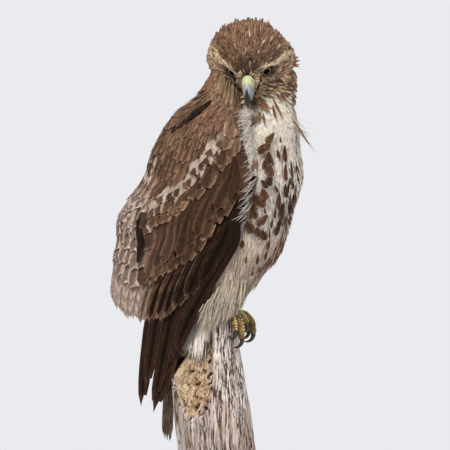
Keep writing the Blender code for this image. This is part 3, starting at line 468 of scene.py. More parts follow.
def capped_tube(rings):
    """Points and faces of a closed tube over rings of equal count, with fans at both ends."""
    rows, columns = rings.shape[:2]
    points = np.concatenate([rings.reshape(-1, 3), rings[:1].mean(1), rings[-1:].mean(1)])
    k = np.arange(columns)
    n = (k + 1) % columns
    first = np.stack([n, k, np.full(columns, rows * columns)], -1)
    last_row = (rows - 1) * columns
    last = np.stack([last_row + k, last_row + n, np.full(columns, rows * columns + 1)], -1)
    return points, [grid_faces(rows, columns, True), first, last]


def merged(parts):
    """Several points-and-faces pairs as one."""
    points, by_size, start = [], {}, 0
    for part_points, faces in parts:
        points.append(part_points)
        for face in faces:
            by_size.setdefault(face.shape[1], []).append(face + start)
        start += len(part_points)
    return np.concatenate(points), [np.concatenate(f) for f in by_size.values()]


def full_turn(sides):
    """Angles of a closed ring's sides, in radians."""
    return np.linspace(0, 2 * math.pi, sides, endpoint=False)


def ellipsoid(centre, axes, radii, rows, sides, end):
    """Rings of an ellipsoid along its first axis, from -end to end of that radius."""
    a = full_turn(sides)[None, :]
    s = np.linspace(-end, end, rows)[:, None]
    size = np.sqrt(1 - s**2)
    return (
        centre
        + (s * radii[0])[..., None] * axes[0]
        + (size * np.cos(a) * radii[1])[..., None] * axes[1]
        + (size * np.sin(a) * radii[2])[..., None] * axes[2]
    )


def ball_rings(centre, radius, polar, turn, axes):
    """Points of a ball round its first axis, from polar angles and turns in radians."""
    look, across, over = axes
    return (
        centre
        + (radius * np.cos(polar))[..., None] * look
        + (radius * (np.sin(polar) * np.cos(turn)))[..., None] * across
        + (radius * (np.sin(polar) * np.sin(turn)))[..., None] * over
    )


# Materials


class Nodes:
    """Short names for building a node tree."""

    def __init__(self, name):
        self.material = bpy.data.materials.new(name)
        self.material.use_nodes = True
        self.tree = self.material.node_tree
        self.surface = self.tree.nodes["Principled BSDF"]

    def new(self, kind, **settings):
        node = self.tree.nodes.new(kind)
        for key, value in settings.items():
            setattr(node, key, value)
        return node

    def put(self, socket, value):
        if isinstance(value, bpy.types.NodeSocket):
            self.tree.links.new(value, socket)
        else:
            socket.default_value = value

    def attribute(self, name, output="Color"):
        return self.new("ShaderNodeAttribute", attribute_name=name).outputs[output]

    def parts(self, vector):
        node = self.new("ShaderNodeSeparateXYZ")
        self.put(node.inputs[0], vector)
        return node.outputs

    def maths(self, operation, a, b=0.0, c=0.0, clamp=False):
        node = self.new("ShaderNodeMath", operation=operation, use_clamp=clamp)
        for socket, value in zip(node.inputs, (a, b, c)):
            self.put(socket, value)
        return node.outputs[0]

    def ramp(self, value, low, high, to_low=0.0, to_high=1.0):
        node = self.new("ShaderNodeMapRange", interpolation_type="SMOOTHSTEP")
        for socket, number in zip(node.inputs, (value, low, high, to_low, to_high)):
            self.put(socket, number)
        return node.outputs[0]

    def mixed(self, share, a, b, blend="MIX"):
        node = self.new("ShaderNodeMix", data_type="RGBA", blend_type=blend)
        self.put(node.inputs[0], share)
        self.put(node.inputs[6], a)
        self.put(node.inputs[7], b)
        return node.outputs[2]

    def noise(self, scale, detail=3.0, stretch=(1, 1, 1), roughness=0.5, kind="Object"):
        place = self.new("ShaderNodeTexCoord").outputs[kind]
        mapping = self.new("ShaderNodeMapping")
        self.put(mapping.inputs["Vector"], place)
        mapping.inputs["Scale"].default_value = stretch
        node = self.new("ShaderNodeTexNoise")
        self.put(node.inputs["Vector"], mapping.outputs[0])
        node.inputs["Scale"].default_value = scale
        node.inputs["Detail"].default_value = detail
        node.inputs["Roughness"].default_value = roughness
        return node.outputs["Fac"]

    def bump(self, height, strength, distance):
        node = self.new("ShaderNodeBump")
        node.inputs["Strength"].default_value = strength
        node.inputs["Distance"].default_value = distance
        self.put(node.inputs["Height"], height)
        self.put(self.surface.inputs["Normal"], node.outputs[0])

    def colour(self, value):
        self.put(self.surface.inputs["Base Color"], value)

    def shaded(self, colour, shade):
        """A colour darkened or lightened by a plain shade."""
        grey = self.new("ShaderNodeCombineXYZ")
        for socket in grey.inputs:
            self.put(socket, shade)
        return self.mixed(1.0, colour, grey.outputs[0], "MULTIPLY")

    def set(self, **numbers):
        for key, value in numbers.items():
            title = key.replace("_", " ").title().replace("Ior", "IOR")
            self.surface.inputs[title].default_value = value


def plumage(name, barbs=60.0, roughness=0.8, contrast=1.0, painted_root_shade=(0.3, 0.75, 0.5)):
    """Feather colour from each feather's own tint, mark and rim, and its place on the vane.

    The last argument says where along the vane the painted shade at its root begins and ends to clear, and
    how dark it is; this shade stands for the shadow of the feather lying over the root.
    """
    n = Nodes(name)
    across, along, seed = n.parts(n.attribute("vane", "Vector"))
    streak, fringe, bars = n.parts(n.attribute("form", "Vector"))
    pale_base = n.attribute("tint", "Alpha")
    aside = n.maths("ABSOLUTE", across)
    wobble = n.noise(700, 3)
    # Dark middle, widest past the half and pointed at both ends
    wide = n.maths("MULTIPLY", streak, n.ramp(along, 0.3, 0.78, 0.15, 1.0))
    wide = n.maths("MULTIPLY", wide, n.ramp(along, 0.84, 1.0, 1.0, 0.3))
    wide = n.maths("ADD", wide, n.maths("MULTIPLY_ADD", wobble, 0.36, -0.18))
    middle = n.ramp(n.maths("SUBTRACT", aside, wide), -0.14, 0.14, 1.0, 0.0)
    middle = n.maths("MULTIPLY", middle, n.ramp(streak, 0.01, 0.06))
    # Bars across the vane
    wave = n.maths("MULTIPLY_ADD", along, 44.0, n.maths("MULTIPLY", aside, -5.0))
    wave = n.maths("SINE", n.maths("MULTIPLY_ADD", seed, 6.0, wave))
    wave = n.maths("MULTIPLY_ADD", wobble, 1.4, wave)
    banded = n.maths("MULTIPLY", n.ramp(wave, 0.6, 1.3), bars)
    dark = n.maths("MAXIMUM", middle, banded)
    colour = n.mixed(dark, n.attribute("tint"), n.attribute("mark"))
    # Pale edge
    edge = n.maths("MAXIMUM", n.ramp(aside, 0.78, 0.98), n.ramp(along, 0.92, 0.985))
    edge = n.maths("MULTIPLY", edge, n.ramp(wobble, 0.35, 0.6, 0.25, 1.0))
    edge = n.maths("MULTIPLY", edge, n.ramp(along, 0.2, 0.5))
    edge = n.maths("MULTIPLY", edge, fringe)
    colour = n.mixed(edge, colour, n.attribute("rim"))
    # Pale base, which ends in a ragged scallop short of the tip
    reach = n.maths("MULTIPLY_ADD", aside, -0.2, along)
    reach = n.maths("MULTIPLY_ADD", wobble, 0.1, reach)
    based = n.maths("MULTIPLY", n.ramp(reach, 0.74, 0.79, 1.0, 0.0), n.ramp(reach, 0.46, 0.54))
    based = n.maths("MULTIPLY", based, pale_base)
    colour = n.mixed(based, colour, n.attribute("rim"))
    # Barbs slant from the shaft to the edge
    comb = n.maths("MULTIPLY_ADD", along, barbs, n.maths("MULTIPLY", aside, -0.28 * barbs))
    comb = n.maths("SINE", n.maths("MULTIPLY_ADD", wobble, 4.0, n.maths("MULTIPLY", comb, 2.0)))
    shade = n.maths("MULTIPLY_ADD", comb, 0.1 * contrast, 0.95)
    clouds = n.ramp(n.noise(260, 4), 0.25, 0.75, 1 - 0.3 * contrast, 1 + 0.22 * contrast)
    shade = n.maths("MULTIPLY", shade, clouds)
    shade = n.maths("MULTIPLY", shade, n.ramp(aside, 0.02, 0.07, 0.8, 1.0))
    # Painted shade: the root of each feather is darkened where the feather above would shadow it
    shade = n.maths("MULTIPLY", shade, n.ramp(along, *painted_root_shade, 1.0))
    n.colour(n.shaded(colour, shade))
    n.set(roughness=roughness, specular_ior_level=0.06)
    n.bump(comb, 0.25, 0.0002)
    return n.material


def skin_material(name):
    n = Nodes(name)
    shade = n.ramp(n.noise(900, 4), 0.3, 0.7, 0.7, 1.15)
    n.colour(n.shaded(n.attribute("tint"), shade))
    n.set(roughness=0.9, specular_ior_level=0.15)
    n.bump(n.noise(1500, 3), 0.4, 0.0004)
    return n.material


# Skin


def trunk_rings(inset, heights, sides=56):
    rows = curve(TRUNK, heights)
    heights = heights[:, None]
    a = full_turn(sides)
    deep = (rows[:, 2:3] - inset) * np.cos(a)
    wide = (rows[:, 3:4] - inset) * np.sin(a)
    rings = body_points(rows[:, :1] + deep, rows[:, 1:2] + wide, heights)
    middle = body_points(rows[:, :1], rows[:, 1:2], heights)
    angle = np.abs((np.degrees(a) + 180) % 360 - 180)
    bed = curve(WING_BED, heights[:, 0]) * curve(WING_BED_SHARE, angle)[:, 0][None, :]
    return rings - unit(rings - middle) * (bed * 0.6)[..., None]


def head_rings(inset, sides=48):
    keys = np.concatenate([np.linspace(-52, -40, 8), np.linspace(-36, 30, 24), np.linspace(32, 37, 4)])
    rows = curve(HEAD_SECTIONS, keys)
    half, middle, top, bottom = np.moveaxis(rows[:, :, None], 1, 0)
    face = step_up(12, 34, keys)[:, None]
    depth = inset * (1 - face) + 1.6 * face
    a = full_turn(sides)[None, :]
    reach = np.where(np.sin(a) > 0, top - middle, middle - bottom) - depth
    across = (half - depth) * np.cos(a) * (1 - HEAD_NARROWING * np.sin(a))
    across = across + HEAD_SIDE_SHIFT * np.maximum(10 - keys, 0)[:, None]
    return head_points(keys[:, None] + 0 * a, across, middle + reach * np.sin(a))


def leg_rings(side, inset, sides=28):
    place = FOOT_PLACES["right" if side == 1 else "left"]
    heights = np.linspace(198, 262, 14)
    rows = curve(LEG, heights)
    share, deep, wide = rows[:, :1], rows[:, 1:2] - inset, rows[:, 2:3] - inset
    forward = place[0] + (THIGH_PLACE[0] - place[0]) * share
    right = place[1] + (side * THIGH_PLACE[1] - place[1]) * share
    a = full_turn(sides)[None, :]
    return body_points(forward + deep * np.cos(a), right + wide * np.sin(a), heights[:, None])


def brow_rings(side):
    """The bony ridge over an eye."""
    lie = unit(HEAD_FORWARD * BROW_LIE[0] + HEAD_RIGHT * side * BROW_LIE[1] + HEAD_UP * BROW_LIE[2])
    flat = unit(np.cross(lie, HEAD_UP))
    centre = head_points(BROW_PLACE[0] - 1, side * (BROW_PLACE[1] - 0.8), BROW_PLACE[2] - 1)
    return ellipsoid(centre, (lie, flat, np.cross(flat, lie)), BROW_SIZE, 14, 20, 0.97)


def make_skin():
    """Trunk, head and legs as one closed skin, inside the solids by the coat's depth."""
    heights = np.concatenate([np.linspace(199, 210, 5), np.linspace(216, 470, 46)])
    rings = [trunk_rings(TRUNK_COAT, heights), head_rings(COAT)]
    rings += [leg_rings(side, COAT) for side in (1, -1)]
    rings += [brow_rings(side) for side in (1, -1)]
    points, faces = merged([capped_tube(r) for r in rings])
    mesh = bpy.data.meshes.new("skin_form")
    mesh.from_pydata((points * MM).tolist(), [], [f for group in faces for f in group.tolist()])
    form = bpy.data.objects.new("skin_form", mesh)
    bpy.context.scene.collection.objects.link(form)
    remesh = form.modifiers.new("one", "REMESH")
    remesh.mode = "VOXEL"
    remesh.voxel_size = SKIN_VOXEL
    smooth = form.modifiers.new("smooth", "SMOOTH")
    smooth.factor = 0.5
    smooth.iterations = 8
    bpy.context.view_layer.update()
    result = form.evaluated_get(bpy.context.evaluated_depsgraph_get()).to_mesh()
    found = np.empty(len(result.vertices) * 3, np.float32)
    result.vertices.foreach_get("co", found)
    corners = np.empty(len(result.loops), np.int32)
    result.loops.foreach_get("vertex_index", corners)
    sizes = np.empty(len(result.polygons), np.int32)
    result.polygons.foreach_get("loop_total", sizes)
    if not (sizes == 4).all():
        raise RuntimeError("the remeshed skin isn't all quads")
    bpy.data.objects.remove(form)
    return found.reshape(-1, 3).astype(float) / MM, corners.reshape(-1, 4)


class Surface:
    """A skin to root feathers on."""

    def __init__(self, points, quads):
        self.points, self.quads = points, quads
        self.tree = BVHTree.FromPolygons(points.tolist(), quads.tolist())

    def nearest(self, places):
        """The nearest points of the skin, and its normals there."""
        found = np.empty_like(places)
        normals = np.empty_like(places)
        for i, place in enumerate(places):
            hit, normal, _, _ = self.tree.find_nearest(place)
            found[i], normals[i] = hit, normal
        return found, normals

    def seen(self, places, balls=()):
        """Where lines from the front, by x and height, meet the skin or a ball over it."""
        found, normals = np.empty((len(places), 3)), np.empty((len(places), 3))
        for i, (x, z) in enumerate(places):
            hit, normal, _, _ = self.tree.ray_cast((x, -300, z), (0, 1, 0))
            if hit is None:
                hit, normal, _, _ = self.tree.find_nearest((x, -60, z))
            found[i], normals[i] = hit, normal
            for centre, radius in balls:
                deep = radius**2 - (x - centre[0]) ** 2 - (z - centre[2]) ** 2
                if deep > 0 and centre[1] - math.sqrt(deep) < found[i, 1]:
                    found[i] = x, centre[1] - math.sqrt(deep), z
                    normals[i] = unit(found[i] - centre)
        return found, normals

    def scatter(self, count, seed):
        """Places spread at random over the skin, by area."""
        chance = np.random.default_rng(seed)
        a, b, c, d = (self.points[self.quads[:, i]] for i in range(4))
        area = np.linalg.norm(np.cross(c - a, d - b), axis=1)
        pick = np.searchsorted(np.cumsum(area) / area.sum(), chance.random(count))
        u, v = chance.random((2, count, 1))
        place = (a[pick] * (1 - u) + b[pick] * u) * (1 - v) + (d[pick] * (1 - u) + c[pick] * u) * v
        normal = unit(np.cross(c - a, d - b))[pick]
        return place, normal


def thinned(places, spacing, seed):
    """Indices of places no nearer to each other than their spacing."""
    order = np.random.default_rng(seed).permutation(len(places))
    tree = kdtree.KDTree(len(places))
    for i, place in enumerate(places):
        tree.insert(place, i)
    tree.balance()
    free = np.ones(len(places), bool)
    kept = []
    for i in order:
        if not free[i]:
            continue
        kept.append(i)
        for _, other, _ in tree.find_range(places[i], spacing[i]):
            free[other] = False
    return np.array(sorted(kept))


# Feathers

SMALL_PROFILE = ((0, 0.35), (0.35, 1), (0.75, 0.8), (1, 0.06))
WISP_PROFILE = ((0, 0.6), (0.5, 1), (1, 0.08))
PRIMARY_PROFILE = ((0, 0.5), (0.35, 0.9), (0.65, 1), (0.88, 0.86), (0.96, 0.55), (1, 0.12))
SECONDARY_PROFILE = ((0, 0.8), (0.4, 1), (0.85, 0.88), (0.96, 0.55), (1, 0.12))
COVERT_PROFILE = ((0, 0.3), (0.4, 0.9), (0.7, 1), (0.88, 0.82), (0.96, 0.5), (1, 0.12))
MARK_PROFILE = ((0, 0.12), (0.25, 0.6), (0.62, 1), (0.85, 0.8), (1, 0.15))
HEAD_PROFILE = ((0, 0.4), (0.4, 1), (0.75, 0.7), (1, 0.05))
BODY_PROFILE = ((0, 0.3), (0.3, 0.85), (0.6, 1), (0.84, 0.78), (1, 0.12))
TAIL_PROFILE = ((0, 0.55), (0.5, 0.95), (0.9, 0.95), (0.97, 0.75), (1, 0.3))

# A kind of feather: outline, columns of points across, bend, thickness, raggedness and unwrap patch
Kind = namedtuple("Kind", "profile columns camber thickness ragged patch", defaults=(SMALL_PATCH,))
HEAD_KIND = Kind(HEAD_PROFILE, 3, 0.3, 0.3, 0.03)
BODY_KIND = Kind(BODY_PROFILE, 3, 0.3, 0.3, 0.05)
LONG_KIND = Kind(HEAD_PROFILE, 5, 0.25, 0.3, 0.03)
WISP_KIND = Kind(WISP_PROFILE, 3, 0.2, 0.3, 0.0)
PRIMARY_KIND = Kind(PRIMARY_PROFILE, 11, 0.06, 0.5, 0.004, BIG_PATCH)
SECONDARY_KIND = Kind(SECONDARY_PROFILE, 11, 0.1, 0.5, 0.006, BIG_PATCH)
COVERT_KIND = Kind(COVERT_PROFILE, 9, 0.16, 0.4, 0.03, BIG_PATCH)
LESSER_KIND = Kind(BODY_PROFILE, 7, 0.22, 0.4, 0.09)
# Near-black feathers of painted shadow beside the far strip of the back
CLEFT_SHADOW_KIND = Kind(BODY_PROFILE, 7, 0.2, 0.4, 0.05)
TAIL_KIND = Kind(TAIL_PROFILE, 11, 0.06, 0.5, 0.006, BIG_PATCH)
FLUFF_KIND = Kind(SMALL_PROFILE, 3, 0.3, 0.4, 0.08)
# Rows of points along a feather that is laid where the front view shows it
SEEN_ROWS = 6


def coat_map(mesh, per_feather, centres, vane, patch):
    """The OFBake map: each feather is a patch at its root's place on the unwrap."""
    corners = np.empty(len(mesh.loops), np.int32)
    mesh.loops.foreach_get("vertex_index", corners)
    which = corners // per_feather
    place = centres[which] + (vane[corners, :2] * (0.5, 1) - (0, 0.5)) * patch
    layer = mesh.uv_layers.new(name="OFBake")
    layer.data.foreach_set("uv", place.astype(np.float32).ravel())


def feather_mesh(path, normals, half_width, lift, kind, seed):
    """Points, faces and vane coordinates of many feathers at once, each a closed thin form.

    path and normals are (feathers, rows, 3). A row has its columns on top and one point under the middle.
    """
    chance = np.random.default_rng(seed)
    count, rows = path.shape[:2]
    columns = kind.columns
    across = np.linspace(-1, 1, columns)
    ground = path + normals * lift[..., None]
    tangent = np.gradient(ground, axis=1)
    side = unit(np.cross(tangent, normals))
    out = unit(np.cross(side, tangent))
    share = curve(kind.profile, np.linspace(0, 1, rows))[:, 0]
    half = half_width[:, None] * share[None, :]
    slide = np.zeros((count, rows, columns))
    slide[:, 1:] = (chance.random((count, rows - 1, columns)) - 0.5) * kind.ragged
    slide[:, -1] -= np.abs(across) ** 1.6 * 0.12
    length = np.linalg.norm(np.diff(ground, axis=1), axis=2).sum(1)
    top = (
        ground[:, :, None]
        + side[:, :, None] * (half[..., None] * across)[..., None]
        - out[:, :, None] * (half[..., None] * kind.camber * across**2)[..., None]
        + unit(tangent)[:, :, None] * (slide * length[:, None, None])[..., None]
    )
    under = ground - out * (kind.thickness * (0.4 + 0.6 * share)[None, :, None])
    under = under - out * (half * kind.camber * 0.5)[..., None]
    points = np.concatenate([top, under[:, :, None]], 2)
    ring = columns + 1
    along = np.linspace(0, 1, rows)[None, :, None]
    u = np.broadcast_to(np.append(across, 0)[None, None, :], (count, rows, ring))
    v = np.broadcast_to(along, (count, rows, ring))
    own = np.broadcast_to(chance.random((count, 1, 1)), (count, rows, ring))
    vane = np.stack([u, v, own], -1)
    faces = grid_faces(rows, ring, True)[:, ::-1]
    cap = np.arange(ring)[None, :]
    last = cap[:, ::-1] + (rows - 1) * ring
    shift = (np.arange(count) * rows * ring)[:, None, None]
    faces = (faces[None] + shift).reshape(-1, 4)
    caps = (np.concatenate([cap, last])[None] + shift).reshape(-1, ring)
    return points.reshape(-1, 3), [faces, caps], vane.reshape(-1, 3), rows * ring


def lay_feathers(
    name, material, path, normals, half_width, lift, look, unwrap, kind, seed, replaces=()
):
    """Feathers as one or more pieces. look holds rows of tint, mark, rim and form, and of base for some."""
    count, rows = path.shape[:2]
    lift = np.broadcast_to(lift, (count, rows))
    half_width = np.broadcast_to(np.asarray(half_width, float), (count,))
    look = {"base": np.zeros(count), **look}
    each = (kind.columns + 1) * (rows - 1) * 2 + 2 * (kind.columns - 1)
    parts = max(1, math.ceil(count * each / MOST_TRIANGLES))
    for part in range(parts):
        pick = np.arange(part * count // parts, (part + 1) * count // parts)
        own = (values[pick] for values in (path, normals, half_width, lift))
        points, faces, vane, per_feather = feather_mesh(*own, kind, seed + part)
        spread = {key: np.repeat(value[pick], per_feather, axis=0) for key, value in look.items()}
        attributes = {
            "vane": ("FLOAT_VECTOR", vane),
            "tint": ("FLOAT_COLOR", rgba(spread["tint"], spread["base"])),
            "mark": ("FLOAT_COLOR", rgba(spread["mark"])),
            "rim": ("FLOAT_COLOR", rgba(spread["rim"])),
            "form": ("FLOAT_VECTOR", spread["form"]),
        }
        title = name if parts == 1 else name + "_" + str(part + 1)
        taken = replaces if part == 0 else ()
        thing = new_piece(title, points, faces, material, taken, attributes, 50)
        coat_map(thing.data, per_feather, unwrap[pick], vane, kind.patch)


def lay_wisps(name, material, roots, ways, lengths, droop, half_width, look, unwrap, rows, seed):
    """Loose thin barbs from roots along their ways, bending towards droop as they go."""
    s = np.linspace(0, 1, rows)[None, :, None]
    path = roots[:, None] + (ways[:, None] * s + droop[:, None] * s**2) * lengths[:, None, None]
    outs = np.cross(np.cross(ways, UP), ways)
    outs = np.where(np.abs(ways[:, 2:3]) > 0.8, np.cross(ways, np.array((1.0, 0.2, 0))), outs)
    outs = np.broadcast_to(unit(outs)[:, None], path.shape)
    lay_feathers(name, material, path, outs, half_width, 0, look, unwrap, WISP_KIND,
                 seed)


def lay_seen(name, material, slot, surface, strokes, look, lift, seed, balls=(), profile=HEAD_PROFILE):
    """Single feathers laid where the front view shows them.

    A stroke is x and height of its root, x and height of its tip, and half its width. lift runs from 0 to 1
    along the feather: (lift at the root, what it gains, power).
    """
    strokes = np.asarray(strokes, float)
    s = np.linspace(0, 1, SEEN_ROWS)[None, :, None]
    places = strokes[:, None, :2] * (1 - s) + strokes[:, None, 2:4] * s
    points, normals = surface.seen(places.reshape(-1, 2), balls)
    path = points.reshape(places.shape[:2] + (3,))
    # An even slope from root to tip keeps a feather from following every dent
    straight = path[:, :1] * (1 - s) + path[:, -1:] * s
    path = path * 0.6 + np.minimum(path, straight) * 0.4
    outs = normals.reshape(path.shape)
    outs = unit(outs + outs.mean(1, keepdims=True))
    start, gain, power = lift
    raised = start + gain * np.linspace(0, 1, SEEN_ROWS)[None, :] ** power
    kind = Kind(profile, 5, 0.2, 0.3, 0.02)
    lay_feathers(name, material, path, outs, strokes[:, 4], raised, look, unwrap_skin(path[:, 0]),
                 kind, seed)


def march(surface, roots, normals, directions, lengths, rows):
    """Paths over the skin from each root along its direction."""
    path, outs = [roots], [normals]
    here, out = roots, normals
    way = unit(directions - normals * dot(directions, normals))
    for _ in range(rows - 1):
        ahead = here + way * (lengths / (rows - 1))[:, None]
        here, out = surface.nearest(ahead)
        way = unit(way - out * dot(way, out))
        path.append(here)
        outs.append(out)
    return np.stack(path, 1), np.stack(outs, 1)


# Colours, as linear values

CROWN = np.array((0.30, 0.165, 0.104))
CROWN_DARK = np.array((0.085, 0.045, 0.026))
CROWN_RIM = np.array((0.46, 0.30, 0.19))
BROW = np.array((0.64, 0.48, 0.32))
CHEEK = np.array((0.36, 0.23, 0.135))
EAR = np.array((0.11, 0.065, 0.04))
CHEEK_PALE = np.array((0.60, 0.42, 0.27))
CREAM = np.array((0.61, 0.54, 0.45))
BELLY = np.array((0.56, 0.44, 0.335))
WHITE = np.array((0.72, 0.655, 0.585))
BREAST_MARK = np.array((0.115, 0.056, 0.032))
RUST = np.array((0.22, 0.115, 0.06))
MANTLE = np.array((0.315, 0.176, 0.108))
MANTLE_DARK = np.array((0.115, 0.062, 0.036))
GOLD = np.array((0.42, 0.28, 0.17))
COVERT = np.array((0.10, 0.052, 0.029))
COVERT_BROWN = np.array((0.12, 0.06, 0.034))
COVERT_DARK = np.array((0.022, 0.01, 0.006))
COVERT_PALE = np.array((0.40, 0.31, 0.24))
FLIGHT = np.array((0.032, 0.015, 0.009))
FLIGHT_DARK = np.array((0.009, 0.0045, 0.003))
GREY_TERTIAL = np.array((0.56, 0.435, 0.36))
GREY_TERTIAL_MARK = np.array((0.20, 0.135, 0.10))
LEG_COLOUR = np.array((0.43, 0.34, 0.25))
LEG_FLUFF = np.array((0.41, 0.335, 0.255))
UNDERTAIL = np.array((0.72, 0.65, 0.57))
UNDERTAIL_MARK = np.array((0.5, 0.4, 0.3))
TAIL_COLOUR = np.array((0.56, 0.44, 0.31))


def eye_centre(side):
    return head_points(EYE_PLACE[0], side * EYE_PLACE[1], EYE_PLACE[2])


def trunk_angle(points):
    """Angle round the trunk from the breast, to the bird's right."""
    forward, right, height = body_parts(points)
    rows = curve(TRUNK, height)
    return np.degrees(np.arctan2((right - rows[:, 1]) / rows[:, 3], (forward - rows[:, 0]) / rows[:, 2]))


def near_line(points, line):
    """Distance of points from a line through places, in the same frame."""
    line = np.array(line, float)
    best = np.full(len(points), 1e9)
    for a, b in zip(line, line[1:]):
        share = np.clip(((points - a) @ (b - a)) / ((b - a) @ (b - a)), 0, 1)
        best = np.minimum(best, np.linalg.norm(points - a - share[:, None] * (b - a), axis=1))
    return best


# From the front, as x and height: the pale line over each eye, and the dark one from it to the bill's corner
BROWS_SEEN = (
    ((23.9, 447.0), (18.9, 452.0), (13.9, 456.3), (8.9, 460.0), (4.6, 464.5), (2.0, 468.5)),
    ((45.9, 450.0), (49.4, 453.3), (54.9, 456.2), (60.9, 458.4), (67.9, 462.0), (73.0, 466.0)),
)
GAPES_SEEN = (
    ((20.4, 447.0), (22.4, 440.5), (23.4, 434.0), (25.9, 428.7)),
    ((47.3, 446.0), (46.9, 440.0), (42.9, 430.9), (40.4, 428.0)),
)
LORES_MIDDLE = np.array((33.2, 441.0))
BETWEEN_EYES = (33.5, 453.0)
CROWN_MIDDLE = np.array((34.0, 462.0))


def head_look(points, chance):
    """Tint, mark, rim and form of the head's feathers."""
    f, r, u = head_parts(points)
    count = len(points)
    height = points[:, 2]
    patchy = np.array([noise.noise(Vector(p * 0.09)) for p in points])
    draw, toss = chance.random((2, count))
    crown = step_up(2, 10, u)
    tint = mix(CHEEK, CROWN, crown)
    tint = tint * (1 + 0.3 * patchy)[:, None]
    # Single feathers differ: dark, rufous or buff
    tint = mix(tint, CROWN_DARK, (toss < 0.14 + 0.14 * crown) * 0.85)
    tint = mix(tint, CROWN_RIM, (toss > 0.8) * 0.6)
    nape = 1 - step_up(-34, -14, f)
    tint = mix(tint, MANTLE * (0.7 + 0.6 * draw)[:, None], nape * 0.7)
    dark_front = crown * step_up(10, 22, f) * (1 - step_up(32, 37, f))
    tint = mix(tint, CROWN_DARK, dark_front * 0.65 * (toss < 0.8))
    # Cheeks: buff and olive streaks
    cheek = (1 - crown) * step_up(-42, -24, f)
    tint = mix(tint, CHEEK_PALE, cheek * (draw > 0.55) * 0.75)
    tint = mix(tint, EAR, cheek * (draw < 0.15) * 0.85)
    front = np.stack([points[:, 0], height], -1)
    for line in BROWS_SEEN:
        line = np.array(line)
        away = near_line(front, line)
        back = 1 - step_up(-14, 20, f)
        wide = 1.2 + 4.2 * back
        pale = (1 - step_up(wide, wide + 2.0, away)) * (toss > 0.2)
        tint = mix(tint, BROW * (0.75 + 0.4 * draw)[:, None], pale * (u < 22))
        over = height - np.interp(points[:, 0], *(line[line[:, 0].argsort()].T))
        band = hump(7, 5, over) * step_up(-10, 4, f) * (away < 14)
        tint = mix(tint, CROWN_DARK * 0.8, band * 0.75)
    # Dark ground under the pale bristles between the eyes
    between = 1 - step_up(9, 14, np.linalg.norm(front - BETWEEN_EYES, axis=1))
    tint = mix(tint, EAR * 0.6, between * 0.95)
    # A few cream streaks on the crown
    cream = (chance.random(count) < 0.018) & (u > 14)
    tint = mix(tint, BROW * 0.9, cream * 0.8)
    # Dark round the eye, and pale bristles by the bill
    for side in (1, -1):
        ring = np.linalg.norm(points - eye_centre(side), axis=1)
        tint = mix(tint, EAR * 0.5, (1 - step_up(12.2, 13.6, ring)) * (u < 8) * 0.8)
    chin = (1 - step_up(426, 434, height)) * (1 - step_up(15, 26, np.abs(r - 2))) * step_up(0, 10, f)
    tint = mix(tint, WHITE * 0.9, chin * (draw > 0.2))
    rim = mix(CROWN_RIM, BROW, cheek)
    streak = (0.25 + 0.3 * crown) * (1 - chin) * (toss > 0.3)
    form = np.stack([streak, 0.3 + 0.6 * (draw > 0.6), 0 * draw], -1)
    mark = np.tile(CROWN_DARK * 0.8, (count, 1))
    return {"tint": np.clip(tint, 0.004, 0.9), "mark": mark, "rim": rim, "form": form}


def bib_share(angle, height):
    """Where the plain cream bib lies on the breast."""
    return step_up(-46, -20, angle) * (1 - step_up(56, 70, angle)) * step_up(362, 384, height)


# Where the brown flank begins on the breast, as height and x; its brown is partly the flank's own streaks
# and partly painted shade of the side that turns from the light
FLANK_EDGE = (
    (225, 46), (234, 50), (245, 54), (256, 59), (272, 67), (289, 72), (311, 78), (331, 86), (350, 94)
)


